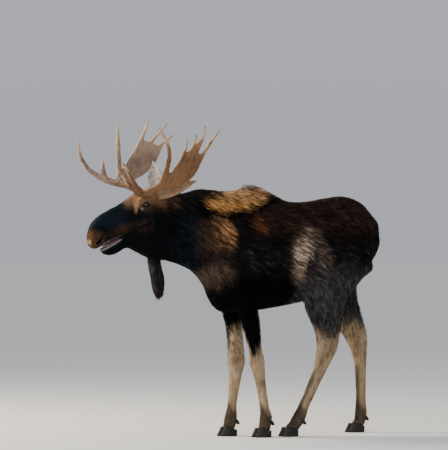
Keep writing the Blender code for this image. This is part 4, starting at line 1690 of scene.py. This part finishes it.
        under = smooth(0.034, 0.029, self.eye_gap) * smooth(0.019, 0.022, self.eye_gap)
        face = mix(face, tint(92, 78, 74), under * smooth(1.654, 1.644, h) * 0.75)
        return self.muzzle(TEAR_SPOT.lay(face, t, h), t, h)

    def muzzle(self, face: np.ndarray, t: np.ndarray, h: np.ndarray) -> np.ndarray:
        """Adds the brown nose, the nostrils and the lips.

        Args:
            face: the colours so far.
            t: distance along the head, with its waver.
            h: height in terms of the head, with its waver.

        Returns:
            The new colours.
        """
        mottle = self.speckle(0.015, Noise.NOSE)
        face = NOSE_SPOT.lay(face, t, h, 0.35 + 0.5 * mottle)
        tip = smooth(0.485, 0.520, t) * smooth(1.50, 1.44, h)
        face = mix(face, tint(84, 56, 34), tip * (0.55 + 0.45 * mottle))
        # Painted rim light: a pale edge on the lower front of the nose.
        face = mix(face, tint(196, 166, 132), smooth(0.518, 0.534, t) * smooth(1.42, 1.38, h) * 0.8)
        # Painted shade: the insides of the nostrils turn near black.
        face = mix(face, tint(3, 3, 3), self.pit * 1.6)
        t, h = self.places.along, self.places.level
        upper = curve(t, (0.278, 1.436), (0.345, 1.411), (0.405, 1.391), (0.448, 1.361), (0.50, 1.333))
        lower = curve(t, (0.275, 1.428), (0.338, 1.391), (0.395, 1.360), (0.438, 1.339), (0.48, 1.311))
        # Dark red of the inner lips, deepened into painted shade inside the mouth's slit.
        slit = smooth(0.004, -0.002, h - upper) * smooth(-0.004, 0.002, h - lower) * (t > 0.276)
        grey = ridge(h, upper + 0.007, 0.006) * smooth(0.27, 0.30, t) * smooth(0.50, 0.44, t)
        face = mix(face, tint(96, 84, 80), grey * 0.6)
        pale = ridge(h, lower - 0.007, 0.0075) * smooth(0.275, 0.30, t) * smooth(0.50, 0.46, t)
        face = mix(face, tint(176, 166, 160), pale * 0.75)
        return mix(face, tint(26, 14, 14), slit)

    def ears(self) -> np.ndarray:
        """Colours the brown backs and the pale lining of the ears, with painted shade on the left ear.

        Returns:
            Linear colours.
        """
        tuft = self.speckle(0.016, Noise.EAR_TUFT)
        back = mix(self.plain(120, 90, 58), tint(84, 62, 44), tuft * 0.6)
        lining = mix(self.plain(190, 178, 166), tint(104, 90, 80), smooth(0.40, 0.85, tuft) * 0.65)
        # Painted shade: the left ear, in the antler's shadow, is browner with a weaker pale rim, though
        # both ears are alike.
        near = (self.places.side > 0).astype(float)
        back = mix(back, tint(128, 94, 60), near * 0.7)
        lining = mix(lining, tint(124, 94, 62), near * 0.85)
        ear = mix(back, lining, self.cup)
        return mix(ear, tint(178, 150, 116), self.cup * (1 - self.cup) * (2.2 - 1.2 * near))

    def bell(self) -> np.ndarray:
        """Colours the bell, greyer down its front."""
        front = smooth(0.2, 0.8, self.normal @ AHEAD) * (0.6 + 0.4 * self.plumb)
        return mix(self.plain(30, 27, 27), tint(84, 76, 68), front * 0.7)

    def all(self, weights: np.ndarray) -> np.ndarray:
        """Blends the parts of the animal.

        Args:
            weights: shares in the zones, one row for each place.

        Returns:
            Linear colours.
        """
        body = self.body()
        legs = self.legs(body)
        face = self.face()
        colours = {
            Zone.TRUNK: body,
            Zone.NECK: body,
            Zone.UPPER: legs,
            Zone.LOWER: legs,
            Zone.FOOT: legs,
            Zone.HEAD: face,
            Zone.JAW: face,
            Zone.EAR: self.ears(),
            Zone.BELL: self.bell(),
            Zone.TAIL: self.plain(40, 32, 28),
        }
        return sum(weights[:, [ZONES.index(zone)]] * colour for zone, colour in colours.items())


@dataclass(frozen=True)
class Lock:
    """One kind of lock of hair.

    Attributes:
        length: from root to tip in metres.
        width: across the root.
        rise: share of the coat's depth that the tip reaches.
        stray: how far locks turn from the common lie, in radians.
        bent: whether the lock curves; a straight one has fewer faces.
        fleck: how strongly single locks differ in colour.
        root_tone: brightness at the root.
        tip_tone: brightness at the tip.
    """

    length: float
    width: float
    rise: float
    stray: float
    bent: bool
    fleck: float
    root_tone: float = 0.6
    tip_tone: float = 1.2


MANE = Lock(length=0.054, width=0.0042, rise=1.0, stray=0.20, bent=True, fleck=1.0)
BODY_HAIR = Lock(length=0.040, width=0.0038, rise=1.0, stray=0.17, bent=True, fleck=1.0)
THIGH_HAIR = Lock(length=0.034, width=0.0036, rise=1.0, stray=0.16, bent=True, fleck=0.8)
FRINGE = Lock(length=0.045, width=0.0040, rise=1.0, stray=0.22, bent=True, fleck=0.8)
LEG_HAIR = Lock(0.015, 0.0026, 0.9, 0.14, bent=False, fleck=0.4, root_tone=0.85, tip_tone=1.1)
FACE_HAIR = Lock(0.0125, 0.0021, 0.85, 0.15, bent=False, fleck=0.3, root_tone=0.88, tip_tone=1.08)
EAR_HAIR = Lock(0.011, 0.0017, 1.0, 0.20, bent=False, fleck=0.4, root_tone=0.85, tip_tone=1.1)


@dataclass(frozen=True)
class Strands:
    """The locks of one patch, one row for each.

    Attributes:
        root: where each lock stands.
        normal: the skin's normal there.
        lie: which way the lock runs.
        length: from root to tip.
        high: height of the tip over the skin.
        width: across the root.
        colour: linear colour.
        tipped: how bright the tip is beside the rest.
        flat: the root's place on the bake map.
    """

    root: np.ndarray
    normal: np.ndarray
    lie: np.ndarray
    length: np.ndarray
    high: np.ndarray
    width: np.ndarray
    colour: np.ndarray
    tipped: np.ndarray
    flat: np.ndarray


@dataclass(frozen=True)
class CoatPatch:
    """One piece of the coat.

    Attributes:
        name: the piece's name.
        count: how many locks it has.
        lock: their kind.
        slot: the record's material slot.
    """

    name: str
    count: int
    lock: Lock
    slot: str


@dataclass
class Coat:
    """All the hair over the skin.

    Attributes:
        skin: the finished skin.
        room: the lowest and the highest corner that the tips may reach.
        seed: start of the random numbers.
        random: the source of the random numbers.
        corners: the three vertices of each triangle of the skin.
        flat: the places of those on the bake map.
        area: the triangles' areas.
        facing: the triangles' normals.
        tree: the skin, ready for a search of its nearest place.
    """

    skin: Skin
    room: list[list[float]]
    seed: int = 7
    random: np.random.Generator = field(init=False)
    corners: np.ndarray = field(init=False)
    flat: np.ndarray = field(init=False)
    area: np.ndarray = field(init=False)
    facing: np.ndarray = field(init=False)
    tree: BVHTree = field(init=False)

    def prepare(self) -> None:
        """Reads the skin's triangles once for all patches."""
        mesh = self.skin.piece.data
        mesh.calc_loop_triangles()
        self.corners = read_rows(mesh.loop_triangles, "vertices", 3, np.int32)
        loops = read_rows(mesh.loop_triangles, "loops", 3, np.int32)
        self.flat = read_rows(mesh.uv_layers[BAKE_MAP].data, "uv", 2, np.float32)[loops]
        points = self.skin.surface.points[self.corners]
        across = np.cross(points[:, 1] - points[:, 0], points[:, 2] - points[:, 0])
        self.area = np.linalg.norm(across, axis=1) / 2
        self.facing = unit(self.skin.normal[self.corners].mean(axis=1))
        self.tree = BVHTree.FromPolygons(self.skin.surface.points.tolist(), self.corners.tolist())
        self.random = np.random.default_rng(self.seed)

    def hug(self, spots: np.ndarray) -> tuple[np.ndarray, np.ndarray]:
        """Finds the skin below some places beside it.

        Args:
            spots: places near the skin.

        Returns:
            The nearest places on the skin, and its normals there.
        """
        near = np.empty_like(spots)
        faces = np.empty(len(spots), int)
        for index, spot in enumerate(spots.tolist()):
            near[index], _, faces[index], _ = self.tree.find_nearest(spot)
        return near, self.facing[faces]

    def grow(
        self, patch: CoatPatch, mask: np.ndarray, material: bpy.types.Material
    ) -> bpy.types.Object:
        """Plants one patch of the coat.

        Args:
            patch: what to plant.
            mask: density at each vertex of the skin.
            material: the hair's material.

        Returns:
            The finished piece.
        """
        random, skin, lock = self.random, self.skin, patch.lock
        weight = self.area * mask[self.corners].mean(axis=1)
        total = np.cumsum(weight)
        face = np.searchsorted(total, random.random(patch.count) * total[-1])
        face = np.minimum(face, len(weight) - 1)
        part = random.random((patch.count, 2))
        over = part.sum(axis=1) > 1
        part[over] = 1 - part[over]
        bary = np.column_stack([1 - part.sum(axis=1), part])[:, :, None]
        corner = self.corners[face]

        def at(values: np.ndarray) -> np.ndarray:
            """Reads a field at the roots."""
            rows = values.reshape(len(values), -1)
            return (rows[corner] * bary).sum(axis=1)

        root = at(skin.surface.points)
        normal = unit(at(skin.normal))
        lie = at(skin.lie)
        lie = unit(lie - normal * (lie * normal).sum(axis=1)[:, None])
        depth = at(skin.depth)[:, 0]
        clump = cloud(root, lock.length * 0.8, Noise.CLUMP)
        turn = random.normal(0, lock.stray, patch.count) + clump * lock.stray
        side = np.cross(normal, lie)
        lie = lie * np.cos(turn)[:, None] + side * np.sin(turn)[:, None]
        size = 1 + 0.25 * random.standard_normal(patch.count).clip(-2, 2)
        length = lock.length * size.clip(0.45, 1.5) * (0.35 + 0.65 * at(skin.flow)[:, 0])
        length = length * (depth / np.median(depth)).clip(0.45, 1.15)
        shown = root + lie * (length * 0.55)[:, None]
        drawn = shown + random.normal(0, lock.length * 0.26, root.shape)
        marks = skin.marked(drawn, normal, at(skin.pit)[:, 0], at(skin.hollow)[:, 0], at(skin.weights))
        strand = Strands(
            root=root,
            normal=normal,
            lie=lie,
            length=length,
            high=depth * lock.rise * (0.72 + 0.30 * random.random(patch.count)),
            width=lock.width * (0.7 + 0.6 * random.random(patch.count)),
            colour=self.tones(marks, shown, lie, lock, clump),
            tipped=np.exp(random.normal(0, 0.55 * lock.fleck, patch.count).clip(-1.3, 1.1)),
            flat=(self.flat[face] * bary).sum(axis=1),
        )
        piece = put(patch.name, self.mesh_of(patch, strand))
        dress(piece, material, patch.slot)
        return piece

    def tones(
        self, colour: np.ndarray, shown: np.ndarray, lie: np.ndarray, lock: Lock, clump: np.ndarray
    ) -> np.ndarray:
        """Varies the colour from lock to lock: dark flecks in pale hair, pale hairs in dark.

        Args:
            colour: the marking's colour.
            shown: the place where most of each lock shows.
            lie: which way it runs.
            lock: its kind.
            clump: slow noise that neighbours share.

        Returns:
            Linear colours.
        """
        count = len(shown)
        pale = smooth(0.015, 0.10, colour @ (0.3, 0.6, 0.1))
        flow = lie.mean(axis=0)
        grain = streaks(shown, flow, 0.0095, Noise.GRAIN) * 0.95
        grain += streaks(shown, flow, 0.018, Noise.WIDE_GRAIN) * 0.35
        shade = 1 + 0.22 * self.random.standard_normal(count).clip(-2.2, 2.2) + 0.16 * clump
        dark = smooth(-0.05, 0.32, grain) * (0.30 + 0.62 * pale) * lock.fleck
        light = smooth(0.10, 0.60, -grain) * (1.1 - 0.6 * pale) * lock.fleck
        shade = shade * (1 - dark) * (1 + light)
        odd = self.random.random(count) < lock.fleck * (0.07 + 0.16 * pale)
        shade = np.where(odd, 3.0 - 2.6 * pale, shade)
        return colour * shade.clip(0.14, 3.2)[:, None]

    @staticmethod
    def lock_faces(rings: int) -> np.ndarray:
        """Closes one lock, which has three-cornered rings and one tip.

        Args:
            rings: how many rings it has.

        Returns:
            The corners of its triangles.
        """
        sides = ((0, 1), (1, 2), (2, 0))
        faces = [(0, 2, 1)]
        for low in range(0, rings * 3 - 3, 3):
            for a, b in sides:
                faces += [(low + a, low + b, low + 3 + b), (low + a, low + 3 + b, low + 3 + a)]
        last = rings * 3 - 3
        faces += [(last + a, last + b, last + 3) for a, b in sides]
        return np.array(faces)

    def mesh_of(self, patch: CoatPatch, strand: Strands) -> bpy.types.Mesh:
        """Builds the closed locks as one mesh.

        Args:
            patch: the patch that they belong to.
            strand: the locks' roots, ways and sizes.

        Returns:
            The mesh.
        """
        length, high, width = strand.length[:, None], strand.high[:, None], strand.width[:, None]
        side = np.cross(strand.normal, strand.lie)
        tilt = side * self.random.normal(0, 0.45, (len(length), 1))
        tilt = tilt + strand.lie * self.random.normal(0, 0.30, (len(length), 1))
        sunk = strand.root - strand.normal * ROOT_SINK
        rings = [(sunk, strand.normal, 1.0, patch.lock.root_tone)]
        if patch.lock.bent:
            near, away = self.hug(strand.root + strand.lie * length * 0.45)
            rings.append((near + away * high * 0.80, away, 0.78, 1.0))
        spots: list[np.ndarray] = []
        ways: list[np.ndarray] = []
        shades: list[float] = []
        for middle, away, narrow, tone in rings:
            for across, up in ((-0.5, 0.0), (0.5, 0.0), (0.0, 0.45)):
                spots.append(middle + side * width * (across * narrow) + away * width * (up * narrow))
                ways.append(unit(away + side * across * 1.2 + tilt))
                shades.append(tone)
        end = strand.root + strand.lie * length
        near, away = self.hug(end)
        free = smooth(0.22, 0.5, np.linalg.norm(end - near, axis=1) / strand.length)[:, None]
        tip = (near + away * high) * (1 - free) + end * free
        spots.append(np.clip(tip, *self.room))
        ways.append(unit(away + strand.lie * 0.3 + tilt))
        shades.append(patch.lock.tip_tone)
        step = len(spots)
        count = len(strand.root)
        index = (np.arange(count) * step)[:, None, None] + self.lock_faces(len(rings))[None]
        mesh = bpy.data.meshes.new(patch.name)
        mesh.vertices.add(count * step)
        mesh.vertices.foreach_set("co", np.stack(spots, axis=1).astype(np.float32).ravel())
        mesh.loops.add(index.size)
        mesh.loops.foreach_set("vertex_index", index.ravel().astype(np.int32))
        mesh.polygons.add(index.size // 3)
        mesh.polygons.foreach_set("loop_start", np.arange(0, index.size, 3, dtype=np.int32))
        mesh.polygons.foreach_set("use_smooth", np.ones(index.size // 3, bool))
        mesh.update(calc_edges=True)
        mesh.validate()
        tones = np.tile(np.array(shades), (count, 1))
        tones[:, -1] *= strand.tipped
        paint(mesh, (strand.colour[:, None, :] * tones[:, :, None]).reshape(-1, 3))
        corner = np.linspace(0, 2 * math.pi, step, endpoint=False)
        ring = np.stack([np.cos(corner), np.sin(corner)], axis=1) * (BAKE_PATCH / 2)
        places = strand.flat[:, None, :] + ring[None]
        layer = mesh.uv_layers.new(name=BAKE_MAP)
        layer.data.foreach_set("uv", places.reshape(-1, 2)[index.ravel()].astype(np.float32).ravel())
        mesh.normals_split_custom_set_from_vertices(np.stack(ways, axis=1).reshape(-1, 3))
        return mesh

    def plans(self) -> list[tuple[CoatPatch, np.ndarray]]:
        """Lists the patches in the order that they are planted.

        Returns:
            Each patch with the density of its locks at each vertex of the skin.
        """
        places, part = self.skin.places, self.skin.part
        left, trunk = places.left, part(Zone.TRUNK)
        fore = smooth(-0.02, 0.02, places.forward - 0.08)
        crest = 1 + 0.8 * smooth(1.6, 1.75, places.height)
        plans = []
        for name, count, lock, area, middle in (
            ("neck", 15000, MANE, part(Zone.NECK) * crest, POLL_LEFT * 0.5),
            ("shoulder", 14000, BODY_HAIR, trunk * fore * crest, 0.0),
            ("flank", 15000, BODY_HAIR, trunk * (1 - fore), 0.0),
        ):
            for side, here in (("left", left > middle), ("right", left <= middle)):
                plans.append((CoatPatch(f"coat_{name}_{side}", count, lock, "coat_dark"), area * here))
        lower = part(Zone.LOWER) + part(Zone.FOOT)
        for name, count, lock, slot, area in (
            ("upper_legs", 18000, THIGH_HAIR, "coat_dark", part(Zone.UPPER)),
            ("bell", 3200, FRINGE, "coat_dark", part(Zone.BELL)),
            ("tail", 1200, FRINGE, "coat_dark", part(Zone.TAIL)),
            ("lower_legs", 40000, LEG_HAIR, "coat_leg", lower),
            ("face", 45000, FACE_HAIR, "coat_face", self.face_area()),
            ("ears", 8000, EAR_HAIR, "coat_face", part(Zone.EAR)),
        ):
            plans.append((CoatPatch(f"coat_{name}", count, lock, slot), area))
        return plans

    def face_area(self) -> np.ndarray:
        """Leaves the eyes and the nostrils free, and thins the hair on the muzzle.

        Returns:
            The density of the face's locks at each vertex of the skin.
        """
        skin = self.skin
        head = skin.part(Zone.HEAD) + skin.part(Zone.JAW)
        open_eye = smooth(0.024, 0.030, skin.eye_distance(skin.places.points))
        muzzle = 0.45 + 0.55 * smooth(0.5, 0.3, skin.places.along)
        return head * open_eye * (1 - np.clip(skin.pit * 2, 0, 1)) * muzzle

    def build(self) -> list[bpy.types.Object]:
        """Plants every patch.

        Returns:
            The finished pieces.
        """
        self.prepare()
        long_hair = HairFinish("long_hair", 0.64, 0.035, 0.22, 260.0, 0.0012).make()
        short_hair = HairFinish("short_hair", 0.62, 0.05, 0.20, 420.0, 0.0008).make()
        hair = {"coat_dark": long_hair, "coat_leg": short_hair, "coat_face": short_hair}
        return [self.grow(patch, area, hair[patch.slot]) for patch, area in self.plans()]


@dataclass
class Antlers:
    """The two antlers, each one piece of bone.

    Attributes:
        frame: the loaded frame.
        voxel: grid of the surface.
        rounds: how often all of it is smoothed, then all but its sharp edges.
        edge_blur: how often it is blurred to find its sharp edges.
        rim_blur: how often it is blurred to find where it is rubbed.
        bark: card colour of the stained bone.
        umber: card colour of the grooves.
        ivory: card colour of the rubbed tips and rims.
        ashen: card colour of the right antler's palm, painted paler and greyer as sunlight.
    """

    frame: dict
    voxel: float = 0.0034
    rounds: tuple[int, int] = (8, 14)
    edge_blur: int = 40
    rim_blur: int = 80
    bark: Card = (112, 74, 40)
    umber: Card = (58, 38, 22)
    ivory: Card = (222, 190, 146)
    ashen: Card = (140, 112, 92)

    def build(self) -> list[bpy.types.Object]:
        """Makes both antlers.

        Returns:
            The finished pieces.
        """
        material = AntlerFinish("antler_bone").make()
        return [self.antler(side, material) for side in SIDES]

    def antler(self, side: str, material: bpy.types.Material) -> bpy.types.Object:
        """Makes one antler.

        Args:
            side: left or right.
            material: its material.

        Returns:
            The finished piece.
        """
        names = [f"antler_{side}_{part}" for part in ("beam", "brow", "palm")]
        mesh = fused(welded(self.frame, names, SWELL), self.voxel)
        largest(mesh)
        surface = Surface(mesh)
        first, second = self.rounds
        surface.even(first)
        sharp = np.linalg.norm(surface.points - surface.spread(surface.points, self.edge_blur), axis=1)
        surface.even(second, 1 - smooth(0.004, 0.009, sharp))
        points = surface.points
        normal = surface.normals()
        rim = np.linalg.norm(points - surface.spread(points, self.rim_blur), axis=1)
        rim = surface.spread(rim, 6)
        worn = smooth(*np.percentile(rim, (72, 97)), rim)
        blade = HEAD_AHEAD * -0.45 + HEAD_LEFT * (0.45 * mirrored(side)) + UP * 0.80
        furrow = streaks(points, blade, 0.011, Noise.FURROW)
        relief = furrow * 0.0013 + cloud(points, 0.007, Noise.GRIT) * 0.0004
        surface.points = points + normal * (relief * (1 - worn * 0.7))[:, None]
        surface.store()
        colours = self.stained(side, points, furrow, worn)
        piece = finished(f"antler_{side}", mesh, colours, material, "antler")
        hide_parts(*names)
        return piece

    def stained(self, side: str, points: np.ndarray, furrow: np.ndarray, worn: np.ndarray) -> np.ndarray:
        """Colours the bone: dark in its grooves and pits, pale where it is rubbed, and paler on the
        right palm as painted sunlight.

        Args:
            side: left or right.
            points: the vertices before the grooves were cut.
            furrow: the grooves, from ridge to bottom.
            worn: how far each vertex is rubbed, 0 to 1.

        Returns:
            Linear colours.
        """
        places = Places.of(points)
        out = np.abs(places.side)
        colour = np.broadcast_to(tint(*self.bark), points.shape)
        # Painted sunlight: the right antler's palm is paler and greyer than the left's, though both are
        # alike.
        if side == "right":
            colour = mix(colour, tint(*self.ashen), smooth(0.18, 0.34, out))
        pits = smooth(0.05, 0.75, cloud(points, 0.0065, Noise.PIT)) * 0.28
        stain = cloud(points, 0.06, Noise.STAIN) * 0.5 * (1 - worn)
        for amount in (smooth(0.0, 0.9, furrow) * 0.5 + pits, stain, smooth(0.34, 0.06, out) * 0.5):
            colour = mix(colour, tint(*self.umber), amount)
        for amount in (worn * 0.60, smooth(1.98, 2.20, places.height) * 0.25):
            colour = mix(colour, tint(*self.ivory), amount)
        return colour


@dataclass
class Eyes:
    """The two eyeballs.

    Attributes:
        iris: card colour of the iris.
        white: card colour of the ball beside it.
        pupil: card colour of the pupil.
        rounds: segments round the ball and from pole to pole.
    """

    iris: Card = (46, 28, 18)
    white: Card = (120, 96, 84)
    pupil: Card = (8, 8, 12)
    rounds: tuple[int, int] = (48, 32)

    def build(self) -> list[bpy.types.Object]:
        """Makes both eyes.

        Returns:
            The finished pieces.
        """
        material = WetFinish("eyeball", 0.10, 0.8, 0.05, 300.0, 0.0001).make()
        return [self.eye(side, material) for side in SIDES]

    def eye(self, side: str, material: bpy.types.Material) -> bpy.types.Object:
        """Makes one eye with a dark iris and a long pupil.

        Args:
            side: left or right.
            material: its material.

        Returns:
            The finished piece.
        """
        low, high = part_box(f"eye_{side}")
        centre = (low + high) / 2
        around, down = self.rounds
        shape = bmesh.new()
        bmesh.ops.create_uvsphere(
            shape, u_segments=around, v_segments=down, radius=(high - low).z / 2
        )
        bmesh.ops.translate(shape, verts=shape.verts, vec=centre)
        mesh = bpy.data.meshes.new(f"eyeball_{side}")
        shape.to_mesh(mesh)
        shape.free()
        way = unit(np.array([v.co for v in mesh.vertices]) - np.array(centre))
        out = way @ gaze(side)
        slot = np.hypot((way @ HEAD_AHEAD) / 1.5, (way @ UP) * 1.3)
        colours = mix(tint(*self.iris), tint(*self.white), smooth(0.55, 0.40, out))
        colours = mix(colours, tint(*self.pupil), smooth(0.30, 0.22, slot) * (out > 0))
        piece = finished(f"eyeball_{side}", mesh, colours, material, "eye")
        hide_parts(f"eye_{side}")
        return piece


@dataclass
class Trims:
    """The hooves, the dewclaws and the tongue.

    Attributes:
        frame: the loaded frame.
        voxel: grid of their surfaces.
        hoof_rounds: how much the horn is smoothed.
        tongue_rounds: how much the tongue is smoothed.
        horn: card colour of the horn.
        flesh: card colour of the tongue.
    """

    frame: dict
    voxel: float = 0.0024
    hoof_rounds: int = 24
    tongue_rounds: int = 10
    horn: Card = (40, 34, 30)
    flesh: Card = (100, 56, 56)

    def build(self) -> list[bpy.types.Object]:
        """Makes every small hard piece and the tongue.

        Returns:
            The finished pieces.
        """
        horn = HornFinish("hoof_horn", (17, 14, 13), (56, 47, 40)).make()
        moist = WetFinish("tongue_flesh", 0.4, 0.6, 0.4, 400.0, 0.0006).make()
        pieces = []
        for leg in LEGS:
            for side in SIDES:
                for kind in ("hoof", "dewclaw"):
                    node = f"{kind}_{leg}_{side}"
                    pieces.append(self.polished(node, self.hoof_rounds, self.horn, horn, "horn"))
        pieces.append(self.polished("tongue", self.tongue_rounds, self.flesh, moist, "tongue"))
        return pieces

    def polished(
        self, node: str, rounds: int, card: Card, material: bpy.types.Material, slot: str
    ) -> bpy.types.Object:
        """Makes a finer, rounder copy of a node.

        Args:
            node: the node that it replaces.
            rounds: how much it is smoothed.
            card: its card colour.
            material: its material.
            slot: the record's material slot.

        Returns:
            The finished piece.
        """
        low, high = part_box(node)
        mesh = fused(welded(self.frame, [node], 0.0), self.voxel)
        surface = Surface(mesh)
        surface.even(rounds)
        surface.points = np.clip(surface.points, np.array(low), np.array(high))
        surface.store()
        colours = np.broadcast_to(tint(*card), surface.points.shape)
        piece = finished(f"{node}_dressed", mesh, colours, material, slot)
        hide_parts(node)
        return piece


@dataclass(frozen=True)
class Lamp:
    """One soft square light.

    Attributes:
        name: the light's name.
        place: where it hangs.
        size: its width in metres.
        power: its power in watts.
        colour: its colour.
    """

    name: str
    place: tuple[float, float, float]
    size: float
    power: float
    colour: tuple[float, float, float]


@dataclass
class Studio:
    """The floor, the light and the camera.

    Attributes:
        aim: the point that the camera looks at.
        far: distance to the camera.
        azimuth: where the camera stands, in degrees from the animal's side.
        lens: focal length in millimetres.
        floor_size: half the width of the floor in metres.
        sky: the world's colour at the horizon and high up.
        glow: strength of the world's light.
        lit: the point that the lamps face.
        lamps: the soft lights.
    """

    aim: tuple[float, float, float] = (ORIGIN_BACK - 0.0901, ORIGIN_RIGHT + 0.052, 1.513 + STAND)
    far: float = 30.0
    azimuth: float = -30.0
    lens: float = 325.2
    floor_size: float = 120.0
    sky: tuple[tuple[float, tuple[float, float, float]], ...] = (
        (0.02, (0.63, 0.645, 0.695)),
        (0.30, (0.90, 0.94, 1.0)),
    )
    glow: float = 0.75
    lit: tuple[float, float, float] = (0.0, 0.0, 1.1)
    lamps: tuple[Lamp, ...] = (
        Lamp("sun_side", (-5.0, 5.5, 6.5), 3.5, 1500, (1.0, 0.86, 0.68)),
        Lamp("front_fill", (-6.5, -8.0, 5.0), 3.5, 420, (0.88, 0.94, 1.0)),
    )

    def build(self) -> None:
        """Sets up all of it."""
        self.camera()
        self.floor()
        self.lights()

    def camera(self) -> None:
        """Places the camera level with the animal's chest."""
        turn = math.radians(self.azimuth)
        way = Vector((math.sin(turn), -math.cos(turn), 0))
        data = bpy.data.cameras.new("camera")
        data.lens = self.lens
        data.sensor_width = 36
        data.clip_end = 400
        camera = bpy.data.objects.new("camera", data)
        camera.location = Vector(self.aim) + way * self.far
        camera.rotation_euler = (-way).to_track_quat("-Z", "Y").to_euler()
        bpy.context.scene.collection.objects.link(camera)
        bpy.context.scene.camera = camera

    def floor(self) -> None:
        """Lays the pale floor."""
        shape = bmesh.new()
        bmesh.ops.create_grid(shape, x_segments=1, y_segments=1, size=self.floor_size)
        mesh = bpy.data.meshes.new("floor")
        shape.to_mesh(mesh)
        shape.free()
        floor = put("floor", mesh)
        floor.data.materials.append(FloorFinish("pale_floor").make())
        floor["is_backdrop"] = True

    def lights(self) -> None:
        """Hangs the soft lights."""
        world = bpy.data.worlds.new("studio")
        world.use_nodes = True
        tree = world.node_tree
        back = tree.nodes["Background"]
        back.inputs["Strength"].default_value = self.glow
        place = tree.nodes.new("ShaderNodeTexCoord")
        split = tree.nodes.new("ShaderNodeSeparateXYZ")
        ramp = tree.nodes.new("ShaderNodeValToRGB")
        for stop, (height, colour) in zip(ramp.color_ramp.elements, self.sky, strict=True):
            stop.position = height
            stop.color = (*colour, 1)
        tree.links.new(place.outputs["Generated"], split.inputs[0])
        tree.links.new(split.outputs["Z"], ramp.inputs[0])
        tree.links.new(ramp.outputs[0], back.inputs["Color"])
        bpy.context.scene.world = world
        for lamp in self.lamps:
            data = bpy.data.lights.new(lamp.name, "AREA")
            data.size = lamp.size
            data.energy = lamp.power
            data.color = lamp.colour
            light = bpy.data.objects.new(lamp.name, data)
            light.location = lamp.place
            way = Vector(self.lit) - Vector(lamp.place)
            light.rotation_euler = way.to_track_quat("-Z", "Y").to_euler()
            bpy.context.scene.collection.objects.link(light)


def corners() -> list[list[float]]:
    """Gives the lowest and the highest corner of all that shows."""
    return [list(corner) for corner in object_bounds()]


def main() -> None:
    """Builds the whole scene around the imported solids."""
    logging.basicConfig(level=logging.INFO, format="%(name)s %(message)s")
    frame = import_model()
    solids = corners()
    Studio().build()
    skin = Skin(frame)
    piece = skin.build()
    dress(piece, HairFinish("skin_fur", 0.66, 0.035, 0.25, 420.0, 0.0010).make(), "coat_dark")
    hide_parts(*skin.nodes)
    Coat(skin, solids).build()
    Antlers(frame).build()
    Eyes().build()
    Trims(frame).build()


if __name__ == "__main__":
    main()
